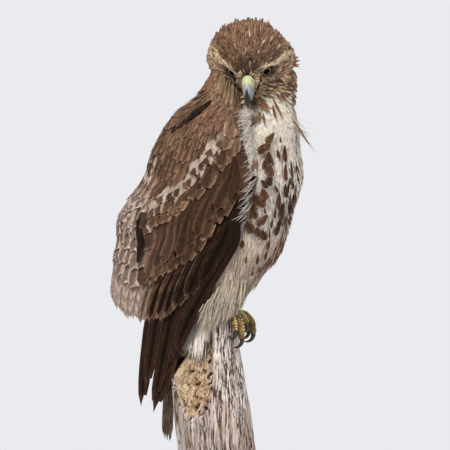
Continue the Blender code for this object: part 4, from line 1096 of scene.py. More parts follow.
def body_look(points, chance, marked):
    """Tint, mark, rim and form of the body's feathers; marked ones carry a teardrop."""
    height = points[:, 2]
    angle = trunk_angle(points)
    count = len(points)
    patchy = np.array([noise.noise(Vector(p * 0.05)) for p in points])
    fine = np.array([noise.noise(Vector(p * 0.16 + 7)) for p in points])
    draw, toss = chance.random((2, count))
    front = (1 - step_up(66, 92, angle)) * step_up(-112, -86, angle)
    belly = 1 - step_up(240, 292, height)
    low = 1 - step_up(226, 250, height)
    breast = mix(CREAM, BELLY, belly)
    breast = mix(breast, LEG_COLOUR, low)
    breast = mix(breast, WHITE, step_up(0.1, 0.35, fine) * 0.6)
    breast = breast * (1 + 0.1 * patchy + 0.16 * (draw - 0.5))[:, None]
    back = mix(MANTLE, MANTLE_DARK, 0.5 * (toss < 0.4)) * (0.75 + 0.4 * draw)[:, None]
    tint = mix(back, breast, front)
    bib = bib_share(angle, height)
    tint = mix(tint, CREAM * (0.98 + 0.12 * draw)[:, None], bib)
    # Brown and buff collar under the cheeks
    far = 1 - step_up(-2, 16, angle)
    collar = step_up(412, 424, height + 7 * (draw - 0.5) + 6 * far)
    collar = collar * np.maximum(1 - step_up(10, 26, angle), step_up(56, 66, angle))
    buff = np.where((toss < 0.75)[:, None], CHEEK * 0.9, CHEEK_PALE * 0.8)
    tint = mix(tint, np.where((toss < 0.4)[:, None], EAR, buff), collar)
    # Brown flank low on the breast, toward the far side: partly its own dark streaks, partly painted shade
    # where that side turns from the light
    flank = step_up(-3, 4, points[:, 0] - curve(FLANK_EDGE, height)[:, 0] + 5 * fine)
    flank = flank * (1 - step_up(350, 370, height)) * step_up(-64, -40, angle) * step_up(222, 240, height)
    tint = mix(tint, BREAST_MARK * (1.0 + 1.3 * draw)[:, None], flank * (toss < 0.8) * 0.9)
    side_patch = hump(51, 11, angle) * step_up(286, 300, height) * (1 - step_up(366, 384, height))
    brown = np.maximum(side_patch * 0.95, hump(262, 16, height) * hump(52, 16, angle) * 0.5)
    tint = mix(tint, BREAST_MARK * 2.0, brown * (toss < 0.55))
    mark = mix(MANTLE_DARK, BREAST_MARK * (0.8 + 0.5 * draw)[:, None], front)
    rim = mix(GOLD, WHITE, front)
    teardrop = np.where(marked, 0.62 + 0.25 * draw, 0.0) * front * (angle < -8) * (height < 372)
    streak = teardrop + (1 - front) * 0.4
    fringe = mix(np.full((count, 1), 0.5), np.full((count, 1), 0.3), front)[:, 0] * (1 - flank)
    form = np.stack([streak, fringe, 0 * draw], -1)
    return {"tint": np.clip(tint, 0.004, 0.9), "mark": np.clip(mark, 0.004, 0.9), "rim": rim, "form": form}


def skin_look(points):
    """Colours of the bare skin and down, which are those of the feathers over it."""
    chance = np.random.default_rng(2)
    body = body_look(points, chance, np.zeros(len(points), bool))["tint"]
    head = head_look(points, chance)["tint"]
    return mix(body, head, head_share(points)) * 0.62


def head_share(points):
    """1 on the head, 0 on the neck and body."""
    rim = 429 + 0.12 * head_parts(points)[0]
    return step_up(-6, 8, points[:, 2] - rim)


def flow(points, normals):
    """The way the feathers lie: away from the bill on the head, down and back on the body."""
    radial = unit(points - head_points(41, 0, -1))
    radial = unit(radial - HEAD_FORWARD * 0.35)
    angle = np.radians(trunk_angle(points))
    back = np.sign(np.sin(angle))[:, None] * RIGHT * 0.28 * (np.abs(np.sin(angle)) < 0.95)[:, None]
    share = step_up(398, 436, points[:, 2])
    way = unit(-UP + back) * (1 - share)[:, None] + radial * share[:, None]
    return unit(way - normals * dot(way, normals))


def unwrap_skin(points):
    """Where points of the skin lie on its own unwrap: the head on one side, the body on the other."""
    f, r, u = head_parts(points)
    height = points[:, 2]
    turn = np.arctan2(r - HEAD_SIDE_SHIFT * np.maximum(10 - f, 0), u + 4) / (2 * math.pi) + 0.5
    on_head = height > 432 + 0.12 * f
    angle = trunk_angle(points) / 360 + 0.5
    head_place = np.stack([0.02 + 0.46 * turn, 0.02 + 0.95 * (f + 56) / 96], -1)
    low = np.stack([0.52 + 0.46 * angle, 0.02 + 0.95 * (height - 190) / 250], -1)
    return np.clip(np.where(on_head[:, None], head_place, low), 0.005, 0.995)


def spacing_at(places):
    """How far apart feathers are rooted: close by the bill, wide on the body."""
    far = np.linalg.norm(places - head_points(40, 0, 0), axis=1)
    height = places[:, 2]
    head = 0.85 + 0.026 * far
    body = 2.7 - 0.4 * step_up(395, 430, height) + 1.8 * step_up(88, 100, np.abs(trunk_angle(places)))
    return mix(body[:, None], head[:, None], head_share(places))[:, 0], far


def coat_roots(surface, chance):
    """Roots of the coat's feathers over the skin, their normals, and the ways in which they lie."""
    places, normals = surface.scatter(230000, 5)
    height = places[:, 2]
    spacing, far = spacing_at(places)
    angle = np.abs(trunk_angle(places))
    under_wing = (angle > 79) & (angle < 168) & (height > 262) & (height < 396)
    eye = np.minimum(*[np.linalg.norm(places - eye_centre(s), axis=1) for s in (1, -1)]) < EYE_RADIUS + 0.5
    free = ~((far < 9) | under_wing | eye)
    places, normals, spacing = places[free], normals[free], spacing[free]
    kept = thinned(places, spacing, 3)
    places, normals = places[kept], normals[kept]
    plain = bib_share(trunk_angle(places), places[:, 2])
    loose = 0.16 + 0.2 * head_share(places) - 0.13 * plain
    way = flow(places, normals) + (chance.random((len(places), 3)) - 0.5) * loose[:, None]
    return places, normals, unit(way)


def dress_head(surface, places, normals, way, material, chance):
    count = len(places)
    far = spacing_at(places)[1]
    draw = chance.random(count)
    _, r, u = head_parts(places)
    length = (2.6 + 0.165 * far) * (0.8 + 0.45 * draw)
    depth = (1.3 + 0.036 * far) * (0.65 + 0.6 * chance.random(count))
    depth = depth * (1 - 0.4 * step_up(16, 32, u)) - 2.6 * step_up(14, 34, -r) * step_up(-4, 10, u)
    # Some feathers of the crown stand up
    depth = depth + (chance.random(count) < 0.09) * 3.6 * step_up(8, 22, u)
    path, outs = march(surface, places, normals, way, length, 5)
    lift = -0.6 + depth[:, None] * np.linspace(0, 1, 5)[None, :] ** 0.9
    look = head_look(places, chance)
    lay_feathers("head_feathers", material, path, outs, 0.5 + 0.0165 * far, lift, look,
                 unwrap_skin(places), HEAD_KIND, 21)


def dress_trunk(surface, places, normals, way, material, chance):
    """The neck, breast, back and legs."""
    count = len(places)
    height = places[:, 2]
    angle = trunk_angle(places)
    gap = 9.5 + 5 * (1 - step_up(36, 46, angle)) * step_up(280, 300, height)
    gap = gap + 12 * (1 - step_up(232, 246, height))
    marked = np.zeros(count, bool)
    marked[thinned(places, gap, 9)] = True
    look = body_look(places, chance, marked)
    leg = 1 - step_up(214, 244, height)
    neck = step_up(392, 426, height)
    behind = step_up(88, 100, np.abs(angle))
    length = (26 - 9 * neck) * (0.85 + 0.3 * chance.random(count))
    width = 2.1 - 0.5 * neck - 0.5 * leg + 2.0 * behind
    depth = (4.6 - 0.8 * leg - 2.2 * bib_share(angle, height)) * (0.85 + 0.25 * chance.random(count))
    # The breast is fluffed on its far side
    depth = depth + 3.4 * hump(345, 75, height) * (1 - step_up(14, 34, angle)) * step_up(-86, -60, angle)
    path, outs = march(surface, places, normals, way, length, 6)
    lift = -0.6 + depth[:, None] * np.linspace(0, 1, 6)[None, :] ** 0.7
    lay_feathers("body_feathers", material, path, outs, width, lift, look,
                 unwrap_skin(places), BODY_KIND, 23)


def dress_body(surface, face, material):
    """The small feathers all over the skin."""
    chance = np.random.default_rng(11)
    roots = coat_roots(surface, chance)
    on_head = head_share(roots[0]) > 0.5
    dress_head(surface, *(values[on_head] for values in roots), face, chance)
    dress_trunk(surface, *(values[~on_head] for values in roots), material, chance)


def stroke_look(count, colours, chance, vary=0.25, form=(0, 0, 0)):
    """Look of single feathers whose colours are drawn from a few."""
    tint = np.array(colours)[chance.integers(0, len(colours), count)]
    tint = tint * (1 + vary * (2 * chance.random((count, 1)) - 1))
    form = np.tile(np.array(form, float), (count, 1))
    return {"tint": tint, "mark": tint * 0.5, "rim": tint * 1.4, "form": form}


def brow_strokes(line, count, chance):
    """Feathers along a brow, longer and wider spread toward the back of the head."""
    line = np.array(line)
    steps = np.append(0, np.cumsum(np.linalg.norm(np.diff(line, axis=0), axis=1)))
    at = chance.random(count) ** 0.8 * (steps[-1] - 4)
    s = at / steps[-1]
    length = 5 + 3.5 * s

    def on_line(place):
        return np.stack([np.interp(place, steps, line[:, 0]), np.interp(place, steps, line[:, 1])], -1)

    root, tip = on_line(at), on_line(at + length)
    way = tip - root
    way = way / np.linalg.norm(way, axis=1, keepdims=True)
    tip = root + way * length[:, None]
    aside = np.stack([-way[:, 1], way[:, 0]], -1) * np.sign(line[-1, 0] - line[0, 0])
    spread = (chance.random(count) * 1.4 - 0.35) * (0.8 + 2.2 * s)
    root, tip = root + aside * spread[:, None], tip + aside * (spread * 1.3)[:, None]
    return np.column_stack([root, tip, 0.45 + 0.35 * s + 0.2 * chance.random(count)])


# Spiky tips of the crown against the sky, and cream streaks on it, as x and height from the front
CROWN_SPIKES = (
    (13.5, 504.5), (20.9, 509), (29.7, 509), (38.5, 511), (51.7, 510), (58.3, 507),
    (67, 498), (72.6, 491.5), (77, 483), (3.3, 494.7), (-2.2, 487),
)
CROWN_STREAKS = (
    (36.3, 494.7, 37.4, 484.8, 0.8), (46.2, 476, 52.8, 484.8, 0.8), (56.1, 481.5, 60.5, 488.1, 0.8),
    (33, 469, 34.1, 476, 0.6), (24.2, 474.2, 22, 481, 0.6), (64, 474, 68, 480, 0.6),
)


def dress_crown(surface, material):
    """A few longer feathers that stand out from the crown."""
    chance = np.random.default_rng(61)
    tips = np.repeat(np.array(CROWN_SPIKES), 4, axis=0)
    count = len(tips)
    tips = tips + chance.normal(0, 0.8, (count, 2))
    roots = tips + unit(CROWN_MIDDLE - tips) * (8 + 3 * chance.random((count, 1)))
    y = -30 + chance.normal(0, 2.5, count)
    start = np.column_stack([roots[:, 0], y - 1, roots[:, 1]])
    end = np.column_stack([tips[:, 0], y + 1, tips[:, 1]])
    path = bezier(start, (start + end) / 2 + (0, 0, 0.5), end, 6)
    outs = np.broadcast_to(np.array((0.0, -1.0, 0.2)), path.shape)
    look = stroke_look(count, (CROWN, CROWN * 0.7, CROWN_RIM * 0.8), chance, form=(0.3, 0.5, 0))
    half = 1.1 + 0.4 * chance.random(count)
    lay_feathers("crown_spikes", material, path, outs, half, 0, look,
                 unwrap_skin(start), LONG_KIND, 63)
    look = stroke_look(len(CROWN_STREAKS), (BROW, BROW * 0.85), chance)
    lay_seen("crown_streaks", material, "head_feathers", surface, CROWN_STREAKS, look, (3.4, 1.2, 1), 65)


# Colours of the neck's feathers in front and behind, and how low they hang by angle from the breast
NECK_FRONT = np.array((CHEEK, CHEEK_PALE * 0.62, MANTLE * 0.85, EAR * 1.3))
NECK_BACK = np.array((MANTLE, CROWN, CROWN_RIM * 0.7, MANTLE_DARK))
NECK_LOW = ((74, 83, 110, 130, 180), (400, 404, 418, 430, 430))


def dress_nape(side, word, first, count, chance, material):
    """Longer feathers that hang from the head's rim over the nape and the top of a wing."""
    angle = chance.uniform(first, 180, count)
    draw = chance.random((5, count))
    low = np.interp(angle, *NECK_LOW) + 14 * draw[0] - 3
    top = np.minimum(low + 18 + 10 * draw[1] + 6 * step_up(112, 130, angle), 466)
    lean = 15 * (1 - step_up(115, 150, angle))
    roots = np.column_stack([angle + lean, top, np.full(count, -4.5)])
    tips = np.column_stack([angle, low, -2.6 + 2.2 * draw[2]])
    pick = (draw[3] * 4).astype(int)
    tint = mix(NECK_FRONT[pick], NECK_BACK[pick], step_up(112, 132, angle))
    tint = tint * (0.8 + 0.4 * draw[4])[:, None]
    form = np.tile((0.2, 0.5, 0.0), (count, 1))
    look = {"tint": tint, "mark": tint * 0.5, "rim": tint * 1.5, "form": form}
    lay_on_wing("neck_feathers_" + word, material, side, roots, tips, 7,
                0.9 + 0.7 * draw[2], look, LONG_KIND, 55, 0.6)


def dress_cheek_edge(chance, material):
    """A tuft behind the left cheek, and the cheek's loose edge below it."""
    count = 84
    draw = chance.random((5, count))
    tuft = np.arange(count) < 22
    x = np.where(tuft, 76, 78) + 5 * draw[0]
    height = np.where(tuft, 457 + 12 * draw[2], 422 + 32 * draw[2])
    start = np.column_stack([x, -27 + 6 * draw[1], height])
    reach = np.where(tuft, 11, 7) * (0.7 + 0.5 * draw[3])
    end = start + np.column_stack([reach, 2 * draw[4], np.where(tuft, 2.0, -8.0) - 3 * draw[4]])
    path = bezier(start, (start + end) / 2 + (1.5, 0, 2.0), end, 6)
    outs = np.broadcast_to(np.array((0.25, -0.97, 0.0)), path.shape)
    look = stroke_look(count, (CROWN, CHEEK, CROWN_DARK, CHEEK_PALE * 0.8), chance, form=(0.2, 0.5, 0))
    look["tint"][tuft] = CROWN * (0.6 + 0.6 * draw[4][tuft, None])
    lay_feathers("cheek_edge", material, path, outs, 0.8 + 0.5 * draw[1], 0, look,
                 unwrap_skin(start), LONG_KIND, 57)


def dress_neck(material):
    chance = np.random.default_rng(53)
    dress_nape(1, "right", 74, 900, chance, material)
    dress_nape(-1, "left", 104, 560, chance, material)
    dress_cheek_edge(chance, material)


def lores_strokes(count, chance):
    """Bristles that fan up and back from the cere, and which of them lie in the dark middle."""
    turn = np.radians(chance.uniform(-150, 150, count))
    out = np.stack([np.sin(turn), np.cos(turn)], -1)
    near = 3.6 + 2.6 * np.abs(np.sin(turn)) + 3.5 * chance.random(count)
    reach = near + 3.5 + 4.5 * chance.random(count)
    root = LORES_MIDDLE + out * near[:, None]
    tip = LORES_MIDDLE + out * reach[:, None] + chance.normal(0, 0.8, (count, 2))
    return np.column_stack([root, tip, 0.24 + 0.2 * chance.random(count)]), np.abs(turn) < 0.42


def gape_strokes(chance):
    """Dark feathers in a line from each eye to the corner of the bill."""
    rows = []
    for line in GAPES_SEEN:
        line = np.array(line)
        for a, b in zip(line, line[1:]):
            for _ in range(14):
                s, e = sorted(chance.random(2))
                shift = chance.normal(0, 0.35, 2)
                root = a + (b - a) * s * 0.6 + shift
                tip = a + (b - a) * (0.6 + 0.4 * e) + shift
                rows.append((*root, *tip, 0.5))
    return rows


def ear_strokes(count, chance):
    """Dark streaks over the ear."""
    root = np.column_stack([chance.uniform(54, 82, count), chance.uniform(429, 443, count)])
    way = np.stack([np.full(count, 1.0), -0.12 - 0.35 * chance.random(count)], -1)
    tip = root + way * chance.uniform(7, 13, count)[:, None]
    return np.column_stack([root, tip, 0.6 + 0.5 * chance.random(count)])


def dress_face(surface, material):
    """Brows, bristles, gape lines, ear streaks, and throat and breast marks, placed from the front."""
    chance = np.random.default_rng(29)
    balls = [(eye_centre(side), LID_BALL) for side in (1, -1)]
    head = (material, "head_feathers", surface)
    body = (material, "body_feathers", surface)
    for word, line, seed in (("right", BROWS_SEEN[0], 31), ("left", BROWS_SEEN[1], 33)):
        strokes = brow_strokes(line, 150, chance)
        look = stroke_look(len(strokes), (BROW * 1.12, BROW * 1.12, BROW * 0.9, CHEEK), chance)
        lay_seen("brow_" + word, *head, strokes, look, (1.0, 2.2, 0.7), seed, balls)
    count = 250
    strokes, middle = lores_strokes(count, chance)
    look = stroke_look(count, (BROW * 1.15, BROW, BROW, CHEEK_PALE, CHEEK, EAR * 0.4), chance)
    look["tint"][middle & (chance.random(count) < 0.8)] = EAR * 0.5
    lay_seen("lores_bristles", *head, strokes, look, (0.8, 1.6, 1), 35, balls)
    strokes = gape_strokes(chance)
    look = stroke_look(len(strokes), (EAR * 0.45, EAR * 0.3), chance)
    lay_seen("gape_lines", *head, strokes, look, (2.4, 0.6, 1), 37, balls)
    strokes = ear_strokes(80, chance)
    look = stroke_look(80, (EAR, EAR, CHEEK, CHEEK, CHEEK_PALE * 0.8, CHEEK_PALE), chance)
    lay_seen("ear_streaks", *head, strokes, look, (3.0, 1.6, 1), 39)
    look = stroke_look(len(THROAT_MARKS), (RUST * 0.85, BREAST_MARK * 1.5), chance, form=(0, 0.3, 0))
    lay_seen("throat_marks", *body, THROAT_MARKS, look, (4.6, 1.2, 1), 40, profile=BODY_PROFILE)
    colours = (BREAST_MARK * 1.15, BREAST_MARK * 0.85)
    look = stroke_look(len(BREAST_MARKS), colours, chance, form=(0.4, 0.35, 0))
    marks = np.array(BREAST_MARKS) * (1, 1, 1, 1, BREAST_MARK_WIDENING)
    lay_seen("breast_marks", *body, marks, look, (5.6, 2.4, 1), 42, profile=MARK_PROFILE)


# Wings


def core_low(angle):
    return curve(WING_CORE_EDGE, np.maximum(angle, WING_CORE_EDGE[0][0]))[..., 0]


def core_lift(angle, height):
    return curve(WING_CORE_RISE, np.maximum(height - core_low(angle), 0))[..., 0]


def wing_paths(side, roots, tips, rows, bow=1.0):
    """Paths on the wing envelope. Roots and tips are rows of angle, height and lift."""
    s = np.linspace(0, 1, rows)[None, :, None]
    places = roots[:, None] + (tips - roots)[:, None] * s
    lift = roots[:, None, 2] + (tips - roots)[:, None, 2] * s[..., 0] ** bow
    points = envelope(side, places[..., 0], places[..., 1])
    normals = envelope_normal(side, places[..., 0], places[..., 1])
    return points, normals, lift


def lay_on_wing(name, material, side, roots, tips, rows, half, look, kind, seed, bow=1.0):
    """Feathers over the wing envelope, from roots to tips."""
    path, outs, lift = wing_paths(side, roots, tips, rows, bow)
    lay_feathers(name, material, path, outs, half, lift, look, unwrap_wing(roots), kind, seed)


def along_row(row, count):
    """Places spread evenly along a row of them."""
    stations = [(i / (len(row) - 1), *place) for i, place in enumerate(row)]
    return curve(stations, np.linspace(0, 1, count))


def in_turn(count, size):
    """Minus and plus size by turns, for feathers that overlap their neighbours."""
    return np.where(np.arange(count) % 2, size, -size)


def constant_look(count, tint, mark, rim, form, chance, vary=0.15):
    shade = 1 + (chance.random((count, 1)) - 0.5) * 2 * vary
    return {
        "tint": np.tile(tint, (count, 1)) * shade,
        "mark": np.tile(mark, (count, 1)) * shade,
        "rim": np.tile(rim, (count, 1)) * shade,
        "form": np.tile(np.array(form, float), (count, 1)),
    }


def unwrap_wing(places):
    """Where places given by angle and height lie on the wing's own unwrap."""
    across = 0.03 + 0.94 * (places[:, 0] - 40) / 140
    up = 0.03 + 0.94 * (places[:, 1] - 60) / 400
    return np.clip(np.stack([across, up], -1), 0.02, 0.98)


# Line of the gap between the near wing and the far strip of the back, as height and angle; painted shadow is
# laid along it
CLEFT = (
    (236, 114), (250.5, 114.5), (272.5, 118.5), (294.5, 118), (316.5, 123.5), (333, 133.5),
    (349.5, 139), (366, 133.5), (382.5, 128), (390, 119.5), (399, 113), (408, 108), (420, 102),
)


def wing_look(tips, chance, base=0.0, fringe=0.6):
    """Colours of wing feathers by where their tips lie: dark in front, brown over the shoulder, grey behind,
    with painted shadow in the gap before the far strip.

    base is the share of feathers with a pale base, and fringe how pale their edges are.
    """
    angle, height = tips[:, 0], tips[:, 1]
    count = len(tips)
    draw, toss, pick = chance.random((3, count))
    leading = 1 - step_up(54, 70, angle)
    past = angle - curve(CLEFT, height)[:, 0]
    behind = step_up(-0.5, 2, past) * (1 - step_up(410, 418, height))
    grey = behind * (1 - step_up(296, 326, height))
    scapular = step_up(86, 95, angle) * (1 - behind)
    shoulder = step_up(338, 366, height)
    # Painted shadow: tips just before the gap by the far strip turn near black and lose their pale rims and
    # bases
    near = (past > -1.5) * (past < np.where(height < 322, 7, np.where(height > 388, 3, 2.2)))
    cleft_shade = near * step_up(240, 258, height) * (1 - step_up(409, 414, height))
    cleft_shade = cleft_shade * ((height < 292) | (height > 380))
    tint = np.tile(COVERT_BROWN, (count, 1))
    tint = mix(tint, MANTLE * 0.85, np.maximum(scapular * 0.8, shoulder * (1 - 0.45 * leading)))
    tint = mix(tint, COVERT_DARK * 2.6, leading * 0.8 * (1 - 0.7 * step_up(385, 412, height)))
    tint = mix(tint, MANTLE * 0.8, behind)
    tint = mix(tint, GREY_TERTIAL, grey)
    tint = mix(tint, MANTLE_DARK, (pick < 0.3) * (1 - grey) * 0.6)
    tint = mix(tint, FLIGHT, cleft_shade * 0.95)
    tint = tint * (0.75 + 0.5 * draw)[:, None]
    mark = mix(tint * 0.45, GREY_TERTIAL_MARK, grey)
    rim = mix(mix(np.tile(GOLD, (count, 1)), WHITE * 0.75, grey), tint, cleft_shade * 0.9)
    blotch = behind * (height > 296) * (height < 348) * (angle > 132)
    based = (chance.random(count) < base) * (0.6 + 0.4 * draw)
    pale = np.maximum(based * step_up(72, 85, angle), blotch * (toss < 0.55))
    pale = pale * (1 - cleft_shade) * (1 - grey * (toss > 0.35))
    rim = mix(rim, mix(COVERT_PALE, WHITE, 0.2), np.clip(blotch + (base > 0.1), 0.0, 1.0))
    edge = fringe * (0.4 + 0.8 * toss) * (1 - 0.6 * leading)
    form = np.stack([0.42 + 0.25 * draw - 0.06 * grey, np.clip(edge, 0, 1), 0 * draw], -1)
    return {"tint": tint, "mark": mark, "rim": rim, "form": form, "base": np.clip(pale, 0, 1)}


# Tiers of coverts: name, line of tips, count, height over that line, length and half width,
# then lift, share of pale bases and how pale the edges are
WING_TIERS = (
    ("greater_coverts", GREATER_COVERT_TIPS, 13, 0, 78, 10.5, -2.9, 0, 0.8),
    ("greater_coverts_upper", GREATER_COVERT_TIPS, 12, 9, 74, 10, -2.1, 0, 0.25),
    ("tertial_scales_low", SCAPULAR_TIPS, 6, -26, 56, 13, -2.8, 0.3, 0.6),
    ("tertial_scales", SCAPULAR_TIPS, 7, -7, 50, 12.0, -2.0, 0.3, 0.7),
    ("tertial_scales_middle", SCAPULAR_TIPS, 7, 10, 46, 11.0, -1.4, 0.4, 0.7),
    ("tertial_scales_upper", SCAPULAR_TIPS, 8, 26, 42, 10.0, -0.9, 0.5, 0.7),
    ("tertial_scales_top", SCAPULAR_TIPS, 8, 41, 40, 9.0, -0.4, 0.5, 0.7),
    ("median_coverts", MEDIAN_COVERT_TIPS, 12, 0, 46, 8.5, -0.9, 0, 0.8),
    ("median_coverts_upper", MEDIAN_COVERT_TIPS[1:], 11, 12, 42, 8, -0.3, 0, 0.8),
    ("median_coverts_top", ARC_TIPS, 11, 0, 40, 7.5, 0.2, 0.97, 0.8),
    ("median_coverts_arcs", ARC_TIPS, 10, 14, 38, 7, 0.7, 0.97, 0.8),
)


def lay_primaries(side, name, material, chance):
    """The longest flight feathers. The folded blades turn their faces to the side."""
    rows = 20
    tip_angle, tip_z, root_angle = np.array(PRIMARIES, float).T
    if side == -1:
        tip_angle = np.array(LEFT_PRIMARY_TIP_ANGLES, float)
    order = np.arange(len(PRIMARIES))
    roots = np.column_stack([root_angle, np.full(len(order), PRIMARY_ROOT_Z), -12.8 + 1.02 * order])
    tips = np.column_stack([tip_angle, tip_z, -6 + 1.02 * order])
    path, _, lift = wing_paths(side, roots, tips, rows, 3)
    turned = roots[:, None] + (tips - roots)[:, None] * np.linspace(0, 1, rows)[None, :, None]
    outs = envelope_normal(side, np.minimum(turned[..., 0], 84), turned[..., 1])
    look = constant_look(len(roots), FLIGHT, FLIGHT_DARK, RUST * 0.8, (0.3, 0.3, 0.35), chance)
    lay_feathers(name + "_primaries", material, path, outs, PRIMARY_HALF, lift, look,
                 unwrap_wing(roots), PRIMARY_KIND, 71, (name,))


def lay_front_blades(side, name, material, chance):
    """The outer edges of folded primaries along the wing's front, over the belly."""
    count = 5
    order = np.arange(float(count))[:, None]
    top, low = 330 - 3 * order, 141 - 8 * order
    height = top + (low - top) * np.linspace(0, 1, 20)[None, :]
    angle = curve(FRONT_BLADE, height)[..., 0] + 1.9 * order
    path, outs = envelope(side, angle, height), envelope_normal(side, angle, height)
    look = constant_look(count, FLIGHT, FLIGHT_DARK, RUST * 0.5, (0.3, 0.2, 0.2), chance)
    unwrap = unwrap_wing(np.stack([angle[:, 0], height[:, 0]], -1))
    lay_feathers(name + "_front_blades", material, path, outs, PRIMARY_HALF,
                 -5.6 - 0.7 * order, look, unwrap, PRIMARY_KIND, 72)


def lay_secondaries(side, name, material, chance):
    """Secondaries, and the grey tertials behind them."""
    count = 25
    angle, tip_z, root_angle = along_row(SECONDARY_TIPS, count).T
    step = in_turn(count, 0.5)
    roots = np.stack([root_angle, core_low(root_angle) + 16, -8.4 + step / 2], -1)
    tips = np.stack([angle, tip_z + (chance.random(count) - 0.5) * 6, -4.8 + step], -1)
    grey = step_up(104, 122, angle)
    look = constant_look(count, FLIGHT, FLIGHT_DARK, GOLD * 0.8, (0.4, 0.6, 0.5), chance)
    look["tint"] = mix(look["tint"], COVERT_BROWN * 1.05, step_up(74, 98, angle))
    look["tint"] = mix(look["tint"], GREY_TERTIAL * 0.8, grey)
    look["mark"] = mix(look["mark"], MANTLE * 0.6, grey)
    look["rim"] = mix(look["rim"], WHITE * 0.7, grey)
    look["rim"] = mix(look["rim"], FLIGHT * 2, 1 - step_up(56, 72, angle))
    look["form"][:, 0] *= 1 - 0.7 * grey
    lay_on_wing(name + "_secondaries", material, side, roots, tips, 18, 9.5, look,
                SECONDARY_KIND, 73)


def lay_tiers(side, name, material, chance):
    """Greater and median coverts, and the scales over the tertials."""
    for number, (title, row, count, up, length, half, level, base, fringe) in enumerate(WING_TIERS):
        row = along_row(row, count)
        height = row[:, 1] + up + (chance.random(count) - 0.5) * 6
        tips = np.stack([row[:, 0] + 3 * (number % 2), height, level + in_turn(count, 0.35)], -1)
        root_z = height + length
        root_angle = np.maximum(tips[:, 0] - 1.5, curve(WING_FRONT, root_z)[:, 0] + 7)
        roots = np.stack([root_angle, root_z, core_lift(tips[:, 0], root_z) - 1.5], -1)
        half = half * (0.9 + 0.2 * chance.random(count))
        look = wing_look(tips, chance, base, fringe)
        lay_on_wing(name + "_" + title, material, side, roots, tips, 10, half, look,
                    COVERT_KIND, 75 + number)


def lay_back_scales(side, name, material, chance):
    """Scales that close the middle of the back."""
    angle, height = (v.ravel() for v in np.meshgrid((160.0, 167.0, 174.0, 180.0), np.arange(256, 350, 15)))
    count = len(angle)
    jitter = (chance.normal(0, 1, count), chance.normal(0, 2, count))
    tips = np.column_stack([angle + jitter[0], height + jitter[1], -2.4 + 0.03 * (height - 256)])
    root_z = height + 44
    roots = np.column_stack([np.minimum(angle - 1, 178), root_z, core_lift(angle, root_z) - 1.5])
    half = 11 * (0.9 + 0.2 * chance.random(count))
    look = wing_look(tips, chance, 0.4, 0.7)
    lay_on_wing(name + "_back_scales", material, side, roots, tips, 8, half, look,
                COVERT_KIND, 95)


def lay_cleft_shadow(side, name, material, chance):
    """Painted shadow: near-black feathers laid in the gap beside the far strip of the back, where there is
    only shade.
    """
    height = np.concatenate([np.linspace(249, 276, 9), np.linspace(399, 411, 6)])
    high = height > 340
    edge = curve(CLEFT, height)[:, 0] + 1.2 + chance.normal(0, 0.5, len(height))
    roots = np.stack([edge + 1, height + np.where(high, 9, 20), np.where(high, 0.0, -1.0)], -1)
    tips = np.stack([edge - 0.5, height - np.where(high, 7, 9), np.where(high, 2.6, 1.0)], -1)
    half = np.where(high, 2.6, 3.6)
    look = constant_look(len(height), FLIGHT * 0.8, FLIGHT_DARK, COVERT, (0.3, 0.4, 0), chance, 0.3)
    lay_on_wing(name + "_cleft", material, side, roots, tips, 8, half, look,
                CLEFT_SHADOW_KIND, 93)


def make_wing(side, word, material):
    chance = np.random.default_rng(60 + side)
    name = "wing_" + word
    lay_primaries(side, name, material, chance)
    lay_front_blades(side, name, material, chance)
    lay_secondaries(side, name, material, chance)
    lay_tiers(side, name, material, chance)
    lay_lesser_coverts(side, name, material, chance)
    lay_back_scales(side, name, material, chance)
    lay_cleft_shadow(side, name, material, chance)


def lay_lesser_coverts(side, name, material, chance):
    """Small feathers over the shoulder and scapulars, up to the neck."""
    spots = np.column_stack([44 + 136 * chance.random(16000), 262 + 186 * chance.random(16000)])
    angle, height = spots.T
    front = curve(WING_FRONT, height)[:, 0]
    lowest = curve(ARC_TIPS + SCAPULAR_TIPS[1:], angle)[:, 0]
    inside = (angle > front - 1) & (height > lowest + 57) & (height > core_low(angle) + 10)
    spots = spots[inside & (height < np.interp(angle, *COVERTS_TOP))]
    small = step_up(350, 412, spots[:, 1]) * (1 - 0.35 * step_up(92, 104, spots[:, 0]))
    spacing = 8.4 - 5.2 * small
    kept = thinned(envelope(side, spots[:, 0], spots[:, 1]), spacing, 31)
    spots, small, spacing = spots[kept], small[kept], spacing[kept]
    angle, height = spots.T
    count = len(spots)
    length = spacing * (3.6 + 0.9 * small) * (0.85 + 0.3 * chance.random(count))
    root_lift = core_lift(angle, height) - 1.2 - 3.5 * step_up(420, 437, height)
    roots = np.column_stack([spots, root_lift])
    lean = 1.5 + (chance.random(count) - 0.5) * 7 * small
    tips = np.stack([angle + lean, height - length, -0.8 + 1.7 * chance.random(count)], -1)
    spotted = (chance.random(count) < 0.16) * step_up(350, 372, height) * (1 - step_up(398, 412, height))
    spotted = spotted * (1 - step_up(88, 96, angle))
    look = wing_look(tips, chance, 0.8 * spotted, 0.95)
    half = spacing * (0.86 - 0.3 * small)
    lay_on_wing(name + "_lesser_coverts", material, side, roots, tips, 6, half, look,
                LESSER_KIND, 79)


def bezier(start, middle, end, rows):
    """Paths that leave start towards middle and bend to end."""
    s = np.linspace(0, 1, rows)[None, :, None]
    return start[:, None] * (1 - s) ** 2 + 2 * middle[:, None] * s * (1 - s) + end[:, None] * s**2


